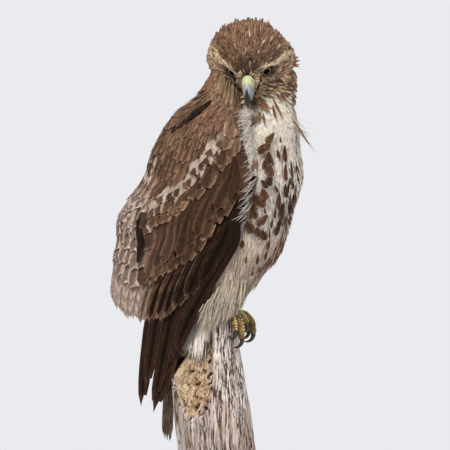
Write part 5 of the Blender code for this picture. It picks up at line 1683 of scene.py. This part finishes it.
def lay_fringe(side, word, chance, material):
    """White bristles from the breast over the wing's front edge, thickest below the chin."""
    height = np.concatenate([286 + 128 * chance.random(150), 388 + 26 * chance.random(80)])
    count = len(height)
    draw = chance.random((5, count))
    front = curve(WING_FRONT, height)[:, 0]
    roots = np.column_stack([front - 5.5 + chance.normal(0, 1.8, count), height, -9 + 3 * draw[0]])
    tips = roots + np.column_stack([3.0 + 7 * draw[1], -1 - 11 * draw[2], 9.5 + 2 * draw[3]])
    look = constant_look(count, WHITE * 0.85, CREAM * 0.5, WHITE, (0, 0.3, 0), chance, 0.2)
    lay_on_wing("wing_edge_fringe_" + word, material, side, roots, tips, 6,
                0.14 + 0.16 * draw[4], look, WISP_KIND, 43, 0.6)


def lay_belly_barbs(surface, chance, material):
    """Long soft barbs over the belly and legs."""
    places, normals = surface.scatter(30000, 77)
    height = places[:, 2]
    widest = np.interp(height, (206, 219, 232, 262), (96, 78, 62, 55))
    inside = (height < 282) & (height > 198) & (np.abs(trunk_angle(places)) < widest)
    places, normals = places[inside], normals[inside]
    kept = thinned(places, np.full(len(places), 2.0), 5)
    places, normals = places[kept], normals[kept]
    height = places[:, 2]
    count = len(places)
    ways = unit(flow(places, normals) + normals * (0.04 + 0.1 * chance.random((count, 1))) + RIGHT * 0.1)
    ways = unit(ways + (chance.random((count, 3)) - 0.5) * 0.25)
    tint = mix(np.tile(BELLY * 1.08, (count, 1)), LEG_COLOUR * 1.12, 1 - step_up(225, 262, height))
    tint = tint * (0.9 + 0.2 * chance.random((count, 1)))
    # The same brown flank as on the feathers: partly streaks, partly painted shade of the far side
    flank = step_up(-2, 4, places[:, 0] - curve(FLANK_EDGE, height)[:, 0]) * step_up(222, 238, height)
    brown = BREAST_MARK * (1 + 1.2 * chance.random((count, 1)))
    tint = mix(tint, brown, flank * (chance.random(count) < 0.85))
    look = constant_look(count, LEG_COLOUR, CREAM * 0.5, WHITE, (0, 0.3, 0), chance)
    look["tint"] = tint
    length = 13 + 10 * chance.random(count)
    half = 0.36 + 0.3 * chance.random(count)
    lay_wisps("belly_barbs", material, places + normals * 2.4, ways, length, -UP * 0.1 - normals * 0.12,
              half, look, unwrap_skin(places), 5, 45)


def lay_leg_fluff(surface, chance, material):
    """Leg feathers that hang over the top of the wood."""
    places, normals = surface.scatter(60000, 79)
    x, height = places[:, 0], places[:, 2]
    facing = (normals[:, 1] < -0.15) & (height > 192) & (height < 236) & (x > -22)
    facing &= x < 10 + 26 * chance.random(len(places))
    facing &= height < np.interp(x, (-24, -4.4, 8.8, 30), (187, 212, 231, 236))
    places, normals = places[facing][:850], normals[facing][:850]
    count = len(places)
    draw = chance.random((5, count))
    start = places + normals * 1.2
    x = start[:, 0] * 1.1 - 5 - 7 * draw[3]
    low = 153 + 0.62 * (x + 22) + 34 * draw[4] ** 1.3
    low = np.minimum(low, start[:, 2] - 12)
    end = np.column_stack([x, np.minimum(-38.5 - 9 * draw[1] ** 2, start[:, 1] + 2), low])
    middle_y = np.minimum(start[:, 1] - 3, -40 - 8 * draw[1])
    middle = np.column_stack([start[:, 0] * 1.04 - 1, middle_y, (start[:, 2] + low) / 2 + 4])
    path = bezier(start, middle, end, 7)
    outs = np.broadcast_to(np.array((0, -1.0, 0.1)), path.shape)
    look = constant_look(count, LEG_FLUFF, CREAM * 0.5, WHITE, (0, 0.4, 0), chance, 0.25)
    half = 0.35 + 0.4 * chance.random(count)
    lay_feathers("leg_fluff", material, path, outs, half, 0, look, unwrap_skin(places),
                 WISP_KIND, 47)


def lay_loose_feathers(chance, material):
    """Loose feathers blown off the breast; a few are whole and rust red."""
    count = 44
    draw = chance.random((5, count))
    angle = np.radians(2 + 8 * draw[0])
    height = 386 + 18 * draw[0]
    rows = curve(TRUNK, height)
    forward = rows[:, 0] + (rows[:, 2] - 5) * np.cos(angle)
    roots = body_points(forward, rows[:, 1] + rows[:, 3] * np.sin(angle), height)
    rust = np.arange(count) % 15 == 0
    fall = np.where(rust, 1.0 + 0.8 * draw[3], 0.25 + 1.0 * draw[1])
    ways = unit(np.stack([np.ones(count), -0.15 + 0.3 * draw[4], -fall], -1))
    look = constant_look(count, WHITE, CREAM * 0.5, WHITE, (0, 0.3, 0), chance, 0.2)
    for part in ("tint", "rim"):
        look[part][rust] = BREAST_MARK * 1.2
    length = np.where(rust, 35, 12 + 17 * chance.random(count))
    droop = np.tile(-UP * 0.12, (count, 1))
    lay_wisps("loose_breast_feathers", material, roots, ways, length, droop, np.where(rust, 0.9, 0.42),
              look, unwrap_skin(roots), 7, 49)


def make_wisps(surface, material):
    """Loose barbs: along the wing's front edge, over the belly and legs, and on the breast."""
    chance = np.random.default_rng(41)
    lay_fringe(1, "right", chance, material)
    lay_fringe(-1, "left", chance, material)
    lay_belly_barbs(surface, chance, material)
    lay_leg_fluff(surface, chance, material)
    lay_loose_feathers(chance, material)


# Tail and undertail


def tail_axes():
    """Root and tip of the tail, and the ways along it, across it and up from its back."""
    root = body_points(TAIL_ROOT[0], 0, TAIL_ROOT[1])
    tip = body_points(TAIL_TIP[0], 0, TAIL_TIP[1])
    along = unit(tip - root)
    across = RIGHT * math.cos(TAIL_TWIST) + FORWARD * math.sin(TAIL_TWIST)
    across = unit(across - along * (across @ along))
    return root, tip, along, across, np.cross(across, along)


def make_tail(material):
    chance = np.random.default_rng(5)
    root, tip, along, across, dorsal = tail_axes()
    length = np.linalg.norm(tip - root)
    s = np.linspace(0, 1, 18)
    paths = []
    for offset, _, lift, end in TAIL_VANES:
        reach = length * (0.03 + 0.97 * s) + end * s
        aside = offset * (0.6 + 0.4 * np.minimum(s / 0.6, 1))
        raised = lift * np.minimum(0.45 + s, 1)
        paths.append(root + reach[:, None] * along + aside[:, None] * across + raised[:, None] * dorsal)
    path = np.array(paths)
    count = len(paths)
    half = np.array([vane[1] for vane in TAIL_VANES], float)
    outs = np.broadcast_to(dorsal, path.shape)
    look = constant_look(count, TAIL_COLOUR, TAIL_COLOUR * 0.35, COVERT_PALE, (0.12, 0.35, 0.8), chance)
    unwrap = np.stack([np.linspace(0.1, 0.9, count), np.full(count, 0.5)], -1)
    lay_feathers("tail_feathers", material, path, outs, half, 0, look, unwrap,
                 TAIL_KIND, 91, ("tail",))


def broken_face_y(x, height):
    """How far back the torn face of the trunk lies."""
    reach = BREAK_NORMAL[0] * (x - BREAK_EDGE[0]) + BREAK_NORMAL[2] * (height - BREAK_EDGE[2])
    return BREAK_EDGE[1] - reach / BREAK_NORMAL[1]


def make_undertail(material):
    """Soft white feathers that hang from the vent over the broken wood."""
    chance = np.random.default_rng(17)
    count = 1500
    pick = chance.integers(0, len(UNDERTAIL_TIPS), count)
    x, z = np.array(UNDERTAIL_TIPS, float)[pick].T
    s = np.linspace(0, 1, 6)
    tip_x = x + chance.normal(0, 3.6, count)
    tip_z = z + np.abs(chance.normal(0, 9, count)) + 30 * (chance.random(count) < 0.35)
    root_x = -16 + (tip_x + 20) * 0.6 + chance.normal(0, 4.0, count)
    root_z = UNDERTAIL_TOP_Z + 4 + chance.normal(0, 4, count)
    x = root_x[:, None] + (tip_x - root_x)[:, None] * s
    z = root_z[:, None] + (tip_z - root_z)[:, None] * s
    stand = 1.5 + 12.0 * chance.random(count)
    y = broken_face_y(x, z) - stand[:, None] * (0.7 + 0.3 * np.sin(s * math.pi))
    path = np.stack([x, y, z], -1)
    outs = np.broadcast_to(unit(BREAK_NORMAL), path.shape)
    look = constant_look(count, UNDERTAIL, UNDERTAIL_MARK, WHITE, (0, 0.4, 0), chance, 0.2)
    unwrap = np.stack([(tip_x + 60) / 80, (tip_z - 120) / 90], -1).clip(0.01, 0.99)
    half = 0.5 + chance.random(count) * 0.8
    lay_feathers("undertail_coverts_fluff", material, path, outs, half, 0, look, unwrap,
                 FLUFF_KIND, 19, ("undertail_coverts",))


# Bill, cere and eyes


def bill_rings(sections, count, sides, flat_bottom):
    """Rings along the bill, from sections of share along it, top, bottom and half width."""
    rows = curve(sections, np.linspace(0, 1, count))
    top_f, top_u, bottom_f, bottom_u, half = np.moveaxis(rows[:, :, None], 1, 0)
    a = full_turn(sides)[None, :]
    high = np.sin(a)
    share = np.where(high > 0, 0.35 + 0.65 * high, 0.35 - 0.35 * np.abs(high) ** flat_bottom)
    forward = bottom_f + (top_f - bottom_f) * share
    return head_points(forward, BILL_NARROWING * half * np.cos(a), bottom_u + (top_u - bottom_u) * share)


def make_horn():
    """The upper and lower bill, black at the tip and along the ridge."""
    n = Nodes("bill_horn")
    spread = n.noise(500, 4)
    dark = n.ramp(n.maths("MULTIPLY_ADD", spread, 0.25, n.attribute("tip", "Fac")), 0.25, 0.75)
    n.colour(n.mixed(dark, (0.26, 0.255, 0.255, 1), (0.012, 0.010, 0.010, 1)))
    n.set(roughness=0.38, specular_ior_level=0.5)
    n.bump(spread, 0.15, 0.0003)
    halves = (("bill_upper", UPPER_BILL_SECTIONS, 0.6), ("bill_lower", LOWER_BILL_SECTIONS, 1.0))
    for name, sections, flat in halves:
        points, faces = capped_tube(bill_rings(sections, 22, 28, flat))
        f, r, _ = head_parts(points)
        tip = 0.75 * step_up(52, 61, f) + 0.45 * (1 - step_up(0.6, 2.6, np.abs(r))) * step_up(49, 55, f)
        new_piece(name + "_horn", points, faces, n.material, (name,), {"tip": ("FLOAT", tip)},
                  60)


def make_cere():
    """The olive skin at the bill's base, with a dent for each nostril."""
    n = Nodes("cere_skin")
    n.colour(n.mixed(n.ramp(n.noise(420, 4), 0.35, 0.65), (0.40, 0.40, 0.20, 1), (0.50, 0.50, 0.29, 1)))
    n.set(roughness=0.5, specular_ior_level=0.4, subsurface_weight=0.1)
    n.bump(n.noise(1400, 3), 0.2, 0.0003)
    points, faces = capped_tube(bill_rings(CERE_SECTIONS, 14, 40, 0.6))
    f, r, u = head_parts(points)
    offset = np.sqrt(((f - NOSTRIL_PLACE[0]) / 1.5) ** 2 + ((u - NOSTRIL_PLACE[2]) / 2.0) ** 2)
    for side in (1, -1):
        dent = (1 - step_up(0.5, 1.1, offset)) * (r * side > 0) * 1.8
        points = points - dent[:, None] * side * HEAD_RIGHT
    new_piece("cere_skin", points, faces, n.material, ("cere",), None, 60)


def eye_axes(side):
    """The way an eye looks, and the ways across and up from it."""
    outward, upward = (math.radians(v) for v in GAZE[side])
    look = math.cos(upward) * math.cos(outward) * HEAD_FORWARD
    look = look + side * math.cos(upward) * math.sin(outward) * HEAD_RIGHT + math.sin(upward) * HEAD_UP
    look = unit(look)
    across = unit(np.cross(look, HEAD_UP))
    return look, across, np.cross(across, look)


def make_ball(side, word):
    """Eyeball: its colour goes by the angle from the middle of the pupil."""
    n = Nodes("eye_" + word)
    ring = n.attribute("ring", "Fac")
    iris = n.mixed(n.noise(1800, 2), (0.10, 0.065, 0.026, 1), (0.24, 0.17, 0.08, 1))
    iris = n.mixed(n.ramp(ring, 31, 34), iris, (0.012, 0.009, 0.006, 1))
    n.colour(n.mixed(n.ramp(ring, 20, 22, 1.0, 0.0), iris, (0.002, 0.0015, 0.001, 1)))
    n.set(roughness=0.06, specular_ior_level=0.02)
    sides = 48
    polar = np.concatenate([np.linspace(0.5, 34, 44), np.linspace(37, 178, 26)])
    down, round_it = np.radians(polar)[:, None], full_turn(sides)[None, :]
    rings = ball_rings(eye_centre(side), EYE_RADIUS, down, round_it, eye_axes(side))
    points, faces = capped_tube(rings)
    angles = np.append(np.repeat(polar, sides), [0, 180])
    new_piece("eye_" + word + "_ball", points, faces, n.material, ("eye_" + word,),
              {"ring": ("FLOAT", angles)})


def make_lids(side, word):
    """Dark lids, as a shell with an almond opening."""
    n = Nodes("lid_" + word)
    n.colour(n.mixed(n.noise(900, 3), (0.010, 0.007, 0.005, 1), (0.035, 0.024, 0.016, 1)))
    n.set(roughness=0.7, specular_ior_level=0.05)
    sides = 56
    t = full_turn(sides)
    opening = 35 - 8 * step_up(0.0, 0.9, np.sin(t)) + 2.0 * np.cos(t) ** 2
    out, radius = np.array(LID_SHELL, float).T[..., None]
    rows = ball_rings(eye_centre(side), radius, np.radians(opening + out), t, eye_axes(side))
    faces = [grid_faces(len(rows) + 1, sides, True) % (len(rows) * sides)]
    new_piece("eye_" + word + "_lids", rows.reshape(-1, 3), faces, n.material)


def make_eye(side, word):
    make_ball(side, word)
    make_lids(side, word)


# Feet


def perch_section(height):
    return curve(PERCH, np.clip(height, PERCH[0][0], PERCH_TOP_Z))


def round_tube(path, radii, sides):
    """Rings of a tube along a path, with no twist."""
    tangent = unit(np.gradient(path, axis=0))
    across = np.cross(tangent[0], UP + np.array((0.01, 0.02, 0)))
    across = unit(across)
    rings = []
    a = full_turn(sides)
    for here, way, radius in zip(path, tangent, radii):
        across = unit(across - way * (across @ way))
        other = np.cross(way, across)
        rings.append(here + radius * (np.cos(a)[:, None] * across + np.sin(a)[:, None] * other))
    return np.array(rings)


def scaled_skin():
    """Toe skin: small scales with dark seams between them."""
    n = Nodes("toe_scales")
    cells = n.new("ShaderNodeTexVoronoi")
    cells.feature = "DISTANCE_TO_EDGE"
    cells.inputs["Scale"].default_value = 520
    n.put(cells.inputs["Vector"], n.new("ShaderNodeTexCoord").outputs["Object"])
    seam = n.ramp(cells.outputs["Distance"], 0.0, 0.12)
    base = n.mixed(n.ramp(n.noise(160, 4), 0.35, 0.65), (0.11, 0.065, 0.022, 1), (0.36, 0.235, 0.07, 1))
    n.colour(n.mixed(seam, (0.035, 0.02, 0.01, 1), base))
    n.set(roughness=0.55, specular_ior_level=0.4)
    n.bump(seam, 0.6, 0.0005)
    return n.material


def horn_finish(name, low, high, scale, roughness, level):
    """A plain glossy finish that varies from low to high."""
    n = Nodes(name)
    n.colour(n.mixed(n.noise(scale, 3), low, high))
    n.set(roughness=roughness, specular_ior_level=level)
    return n.material


def toe_path(start, way, length, steps):
    """Middle line of a toe that runs out over the wood and bends down past its rim."""
    path, bend = [start], 0.0
    for _ in range(steps):
        here = path[-1]
        x, y, rim = perch_section(here[2])
        if math.hypot(here[0] - x, here[1] - y) > rim - TOE_BEND_BEFORE_RIM:
            bend = min(bend + length / steps / TOE_BEND_RADIUS, TOE_MOST_TURN)
        path.append(here + (way * math.cos(bend) - UP * math.sin(bend)) * length / steps)
    return np.array(path)


def toe_line(path, radius, length):
    """Fine points along a toe and the radius at each, with its pads and rows of scales."""
    steps = len(path) - 1
    fine = np.linspace(-0.08, 1, 46)
    line = curve(np.column_stack([np.linspace(0, 1, steps + 1), path]), np.maximum(fine, 0))
    line += (path[0] - path[1]) * np.minimum(fine, 0)[:, None] * -6
    radii = radius * (1 - TOE_TAPER * np.clip(fine, 0, 1)) * (1 + 0.06 * np.cos(fine * steps * math.pi))
    radii = radii + 0.22 * np.abs(np.sin(fine * length * 0.9))
    radii[-3:] *= (0.97, 0.88, 0.66)
    return line, radii


def toe_scutes(line, radii, way):
    """A row of flat beads along the top of a toe."""
    beads = []
    for k in range(9, 43, 4):
        run = line[k + 1] - line[k - 1]
        outward = unit(np.cross(np.cross(run, UP), run))
        outward = outward * (1 if outward @ (way + UP) > 0 else -1)
        axes = (unit(np.cross(outward, run)), unit(run), outward)
        bead = line[k] + outward * (radii[k] - 0.15)
        beads.append(capped_tube(ellipsoid(bead, axes, SCUTE_RADII, 6, 10, 0.9)))
    return beads


def talon_rings(path, way, radius, length):
    """Rings of a claw that curls down from a toe's end; the hind one starts upward."""
    heading = unit(path[-1] - path[-2])
    tip_radius = radius * (1 - TOE_TAPER)
    base = path[-1] + heading * 0.1
    inward, curl = -way, TALON_TURN
    if heading[2] > -0.5:
        base = base + heading * tip_radius * math.sin(HALLUX_TALON_RISE)
        heading = unit(heading + UP * math.tan(HALLUX_TALON_RISE))
        inward = unit(np.cross(np.cross(heading, UP), heading)) * -1
        curl = HALLUX_TALON_TURN
    count = 16
    points = [base]
    for i in range(count):
        turned = curl * (i + 0.5) / count
        points.append(points[-1] + (heading * math.cos(turned) + inward * math.sin(turned)) * length / count)
    share = np.linspace(0, 1, count + 1)
    claw = tip_radius * 0.72 * (1 - share) ** 0.75 + 0.25
    return round_tube(np.array(points), claw, 16)


def make_foot(side, word, scaled, yellow, horn):
    """A sole and shank, and four toes with their scutes and talons."""
    forward, right = FOOT_PLACES[word]
    centre = body_points(forward, right, PERCH_TOP_Z + FOOT_THICKNESS)
    sole = ellipsoid(centre, (FORWARD, RIGHT, UP), SOLE_RADII, 12, 20, 0.98)
    shank = np.linspace(centre, [centre[0], centre[1], SHANK_TOP_Z], 10)
    parts = [capped_tube(sole), capped_tube(round_tube(shank, np.full(10, SHANK_RADIUS), 18))]
    scutes = []
    for toe, (turn, length, radius, talon_length) in TOES.items():
        length, radius, talon_length = length * TOE_SHARE, radius * 0.93, talon_length * 0.85
        bearing = math.radians(turn)
        way = FORWARD * math.cos(bearing) - RIGHT * side * math.sin(bearing)
        path = toe_path(centre + way * 3 + UP * (radius - 4.8), way, length, 6)
        line, radii = toe_line(path, radius, length)
        parts.append(capped_tube(round_tube(line, radii, 18)))
        if toe != "hallux":
            scutes += toe_scutes(line, radii, way)
        points, faces = capped_tube(talon_rings(path, way, radius, talon_length))
        name = "talon_" + word + "_" + toe
        new_piece(name + "_horn", points, faces, horn, (name,), None, 60)
    points, faces = merged(parts)
    new_piece("foot_" + word + "_scaled", points, faces, scaled, ("foot_" + word,), None, 60)
    points, faces = merged(scutes)
    new_piece("foot_" + word + "_scutes", points, faces, yellow, (), None, 60)


def make_feet():
    scaled = scaled_skin()
    yellow = horn_finish("toe_scutes", (0.50, 0.36, 0.09, 1), (0.66, 0.52, 0.20, 1), 300, 0.5, 0.3)
    horn = horn_finish("talon_horn", (0.008, 0.007, 0.007, 1), (0.03, 0.027, 0.025, 1), 400, 0.32, 0.5)
    make_foot(1, "right", scaled, yellow, horn)
    make_foot(-1, "left", scaled, yellow, horn)


# Perch and stand


def perch_noise(places, scale_round, scale_up, shift=0.0):
    """Noise over the trunk, from rows of a way out and a height."""
    return np.array([
        noise.noise(Vector((c * scale_round, s * scale_round, z * scale_up + shift))) for c, s, z in places
    ])


def wood_noise(xy, z, scale, scale_up):
    """Noise inside the wood, by place."""
    return np.array([noise.noise(Vector((x * scale, y * scale, h * scale_up))) for (x, y), h in zip(xy, z)])


def ribbed_reach(offset, way, z, radius):
    """How far the ribbed round trunk reaches from the middle, found again four times for its ribs."""
    reach = np.full(len(z), 40.0)
    for _ in range(4):
        samples = np.column_stack([unit(offset + way * reach[:, None]), z])
        ribs = perch_noise(samples, 2.2, 0.006)
        fine = perch_noise(samples, 6, 0.02, 5)
        wanted = radius * (1 + 0.05 * ribs + 0.02 * fine)
        along = (offset * way).sum(1)
        reach = -along + np.sqrt(np.maximum(along**2 - (offset**2).sum(1) + wanted**2, 1))
    return reach


def cut_reach(way, z):
    """How far from the trunk's middle its torn face and its slope lie; very far where they miss."""
    broken = BREAK_NORMAL / np.linalg.norm(BREAK_NORMAL)
    slope = SLOPE_NORMAL / np.linalg.norm(SLOPE_NORMAL)
    x, y = PERCH_MIDDLE
    to_face = broken[0] * (x - BREAK_EDGE[0]) + broken[1] * (y - BREAK_EDGE[1])
    to_face = to_face + broken[2] * (z - BREAK_EDGE[2])
    to_slope = slope[0] * (x - SLOPE_EDGE[0]) + slope[2] * (z - SLOPE_EDGE[2])
    speed, slope_speed = way @ broken[:2], way[:, 0] * slope[0]
    with np.errstate(divide="ignore", invalid="ignore"):
        face = np.where(speed > 1e-6, np.maximum(-to_face, 0) / speed, 1e6)
        side = np.where(way[:, 0] < -1e-6, (BREAK_SIDE_X - x) / way[:, 0], 1e6)
        low = np.where(slope_speed > 1e-6, np.maximum(-to_slope, 0) / slope_speed, 1e6)
    return np.maximum(face, side), low


def perch_surface(sides, levels):
    """Points round the trunk, with how deep each lies in a crack or hole, which the finish turns into
    painted shade, and how bare the wood is.
    """
    heights = np.concatenate([np.linspace(30, 100, 60), np.linspace(100.5, PERCH_TOP_Z, levels - 60)])
    turn = full_turn(sides)
    section = perch_section(heights)
    z = np.repeat(heights, sides)
    way = np.tile(np.stack([np.cos(turn), np.sin(turn)], -1), (levels, 1))
    middle = np.repeat(section[:, :2], sides, 0)
    round_reach = ribbed_reach(PERCH_MIDDLE - middle, way, z, np.repeat(section[:, 2], sides))
    broken, low = cut_reach(way, z)
    reach = np.minimum(np.minimum(round_reach, broken), low)
    torn = (reach < round_reach - 0.3).astype(float)
    bare = step_up(0.3, 7, round_reach - reach)
    xy = PERCH_MIDDLE + way * reach[:, None]
    # Long cracks and a fine grain, and holes in the torn face
    samples = np.column_stack([unit(xy - middle), z])
    long_crack = np.abs(perch_noise(samples, 3.2, 0.008, 11))
    grain = perch_noise(samples, 14, 0.02, 3)
    holes, small = wood_noise(xy, z, 0.33, 0.15), wood_noise(xy, z, 0.8, 0.3)
    sink = (1 - step_up(0.0, 0.07, long_crack)) * 1.8 * (1 - torn) + 0.6 * grain * (1 - torn)
    sink = sink + torn * (step_up(0.18, 0.5, holes) * 4.2 + 1.5 * small)
    reach = reach - np.maximum(sink, -0.8)
    xy = PERCH_MIDDLE + way * reach[:, None]
    # How deep each point lies, for the painted shade in cracks and holes
    return np.column_stack([xy, z]).reshape(levels, sides, 3), step_up(0.5, 3.5, sink), bare


def grey_wood(n, grain):
    """Weathered grey wood, with fine cracks along it."""
    blotch = n.noise(26, 5, (1, 1, 0.5), 0.6)
    grey = n.mixed(n.ramp(grain, 0.36, 0.62), (0.34, 0.27, 0.225, 1), (0.74, 0.66, 0.605, 1))
    grey = n.mixed(n.ramp(blotch, 0.45, 0.7), grey, (0.36, 0.25, 0.17, 1))
    streak = n.noise(230, 4, (1, 1, 0.05), 0.6)
    crack = n.ramp(n.maths("ABSOLUTE", n.maths("SUBTRACT", streak, 0.5)), 0.02, 0.06, 1.0, 0.0)
    crack = n.maths("MULTIPLY", crack, n.ramp(n.noise(70, 3, (1, 1, 0.25)), 0.36, 0.5))
    flecks = n.ramp(n.noise(520, 3, (1, 1, 0.2), 0.6), 0.54, 0.61)
    flecks = n.maths("MULTIPLY", flecks, n.ramp(n.noise(110, 3, (1, 1, 0.4)), 0.4, 0.6))
    crack = n.maths("MAXIMUM", crack, flecks)
    grey = n.mixed(n.ramp(n.noise(300, 3, (1, 1, 0.08)), 0.55, 0.7), grey, (0.68, 0.61, 0.56, 1))
    return n.mixed(crack, grey, (0.075, 0.038, 0.024, 1))


def torn_wood(n, speck):
    """Soft tan wood where the trunk tore away, with dark pits."""
    share = n.ramp(n.noise(150, 5, (1, 1, 0.5), 0.6), 0.4, 0.6)
    punk = n.mixed(share, (0.26, 0.16, 0.088, 1), (0.52, 0.38, 0.245, 1))
    punk = n.mixed(n.ramp(speck, 0.52, 0.68), punk, (0.60, 0.48, 0.35, 1))
    pits = n.ramp(n.noise(420, 4, (1, 1, 0.5), 0.6), 0.56, 0.64)
    return n.mixed(pits, punk, (0.13, 0.07, 0.038, 1))


def wood_finish():
    n = Nodes("weathered_wood")
    grain = n.noise(60, 6, (1, 1, 0.09), 0.65)
    speck = n.noise(420, 3, (1, 1, 0.35))
    ragged = n.maths("MULTIPLY_ADD", n.noise(140, 4, (1, 1, 0.5), 0.6), 1.6, -0.8)
    edge = n.maths("ADD", n.attribute("torn", "Fac"), ragged)
    colour = n.mixed(n.ramp(edge, 0.35, 0.55), grey_wood(n, grain), torn_wood(n, speck))
    # Painted shade: cracks and holes are darkened to near black by how deep they lie
    n.colour(n.mixed(n.attribute("deep", "Fac"), colour, (0.045, 0.025, 0.014, 1)))
    n.set(roughness=0.92, specular_ior_level=0.2)
    n.bump(n.maths("ADD", grain, n.maths("MULTIPLY", speck, 0.5)), 0.8, 0.002)
    return n.material


def make_perch():
    """The dead trunk: weathered ribs and cracks, soft wood where it tore away, and a rough top."""
    sides, levels = 320, 210
    points, deep, bare = perch_surface(sides, levels)
    caps = []
    for share in (0.93, 0.8, 0.62, 0.42, 0.2):
        ring = PERCH_MIDDLE + (points[-1, :, :2] - PERCH_MIDDLE) * share
        caps.append(np.column_stack([ring, np.full(sides, PERCH_TOP_Z)]))
    rings = np.concatenate([points, np.array(caps)])
    top = rings[levels - 1:]
    bumps = np.array([noise.noise(Vector(p * 0.12)) for p in top.reshape(-1, 3)]).reshape(top.shape[:2])
    rings[levels - 1:, :, 2] += np.minimum(bumps * 1.6 - 0.3, 0.0)
    points, faces = capped_tube(rings)
    extra = len(points) - len(deep)
    looks = {
        "torn": ("FLOAT", np.concatenate([bare, np.full(extra, 0.2)])),
        "deep": ("FLOAT", np.concatenate([deep, np.zeros(extra)])),
    }
    new_piece("perch_wood", points, faces, wood_finish(), ("perch",), looks, 55)


def dress_stand(nodes):
    n = Nodes("stand_finish")
    n.colour(n.mixed(n.noise(600, 3), (0.030, 0.030, 0.033, 1), (0.045, 0.045, 0.048, 1)))
    n.set(roughness=0.5)
    n.bump(n.noise(2500, 2), 0.1, 0.0002)
    for name, thing in nodes.items():
        if name.startswith("stand_"):
            thing.data.materials.clear()
            thing.data.materials.append(n.material)


# Scene


# Lens and sensor in millimetres; places and sizes here in metres
CAMERA_LENS = 500
SENSOR_WIDTH = 36
CAMERA_PLACE = (0.0099, -6.875, 0.2835)
BACKDROP = (0.82, 0.83, 0.86, 1)
FLOOR_RADIUS = 0.95
FLOOR_THICKNESS = 0.01
LAMP_TARGET = (0, 0, 0.3)


def make_camera():
    data = bpy.data.cameras.new("camera")
    data.lens, data.sensor_width = CAMERA_LENS, SENSOR_WIDTH
    data.clip_start, data.clip_end = 0.5, 60
    camera = bpy.data.objects.new("camera", data)
    camera.location = CAMERA_PLACE
    camera.rotation_euler = (math.pi / 2, 0, 0)
    bpy.context.scene.collection.objects.link(camera)
    bpy.context.scene.camera = camera


def make_light(name, place, size, energy, colour=(1, 1, 1)):
    """A round lamp, in metres and watts, that faces the bird."""
    data = bpy.data.lights.new(name, "AREA")
    data.shape = "DISK"
    data.size = size
    data.energy = energy
    data.color = colour
    lamp = bpy.data.objects.new(name, data)
    lamp.location = place
    lamp.rotation_euler = (Vector(LAMP_TARGET) - Vector(place)).to_track_quat("-Z", "Y").to_euler()
    bpy.context.scene.collection.objects.link(lamp)


def make_backdrop():
    """A pale sky; the lamps light the object, and the sky adds only part of its own brightness."""
    world = bpy.data.worlds.new("studio")
    bpy.context.scene.world = world
    world.use_nodes = True
    tree = world.node_tree
    backdrop = tree.nodes["Background"]
    backdrop.inputs["Color"].default_value = BACKDROP
    seen = tree.nodes.new("ShaderNodeLightPath").outputs["Is Camera Ray"]
    strength = tree.nodes.new("ShaderNodeMapRange")
    strength.inputs["To Min"].default_value = 0.55
    strength.inputs["To Max"].default_value = 1.0
    tree.links.new(seen, strength.inputs["Value"])
    tree.links.new(strength.outputs[0], backdrop.inputs["Strength"])


def make_floor():
    sides = 96
    turn = full_turn(sides)
    ring = np.column_stack([np.cos(turn), np.sin(turn), 0 * turn]) * FLOOR_RADIUS
    points = np.concatenate([ring, ring - (0, 0, FLOOR_THICKNESS)])
    mesh = bpy.data.meshes.new("floor")
    faces = [tuple(range(sides)), tuple(range(2 * sides - 1, sides - 1, -1))]
    faces += [(k, k + sides, (k + 1) % sides + sides, (k + 1) % sides) for k in range(sides)]
    mesh.from_pydata(points.tolist(), [], faces)
    floor = bpy.data.objects.new("floor", mesh)
    bpy.context.scene.collection.objects.link(floor)
    n = Nodes("floor")
    n.colour(n.mixed(n.noise(3, 2), (0.60, 0.60, 0.62, 1), (0.64, 0.64, 0.66, 1)))
    n.set(roughness=0.8)
    mesh.materials.append(n.material)


def make_room():
    bpy.context.scene.view_settings.view_transform = "Standard"
    make_backdrop()
    make_floor()
    make_light("key", (-0.7, -1.6, 2.0), 0.9, 62, (1.0, 0.98, 0.95))
    make_light("fill", (1.8, -1.4, 0.9), 1.2, 18, (0.95, 0.97, 1.0))
    make_light("back", (0.4, 1.9, 1.6), 1.2, 26)


def corners(box):
    return [list(box[0]), list(box[1])]


def main():
    for thing in list(bpy.data.objects):
        bpy.data.objects.remove(thing)
    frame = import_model()
    points, quads = make_skin()
    skin = Surface(points, quads)
    down, hidden = skin_material("skin_down"), ("head", "neck", "torso", "leg_left", "leg_right")
    tint = {"tint": ("FLOAT_COLOR", rgba(skin_look(points)))}
    thing = new_piece("skin", points, [quads], down, hidden, tint)
    layer = thing.data.uv_layers.new(name="OFBake")
    layer.data.foreach_set("uv", unwrap_skin(points)[quads.ravel()].astype(np.float32).ravel())
    # Each plumage paints shade over its feathers' roots, as set by the last numbers given to it
    face = plumage("head_plumage", painted_root_shade=(0.3, 0.75, 0.6))
    dress_body(skin, face, plumage("body_plumage", 40.0, 0.85, 0.6, (0.15, 0.5, 0.8)))
    dress_face(skin, face)
    dress_neck(face)
    dress_crown(skin, face)
    vanes = plumage("wing_plumage", 150.0, 0.7)
    make_wing(1, "right", vanes)
    make_wing(-1, "left", vanes)
    make_tail(vanes)
    down = plumage("down_plumage", 30.0, 0.85, 0.4, (0.0, 0.4, 0.9))
    make_undertail(down)
    make_wisps(skin, down)
    make_horn()
    make_cere()
    make_eye(1, "right")
    make_eye(-1, "left")
    make_feet()
    make_perch()
    dress_stand(frame["nodes"])
    make_camera()
    make_room()


main()
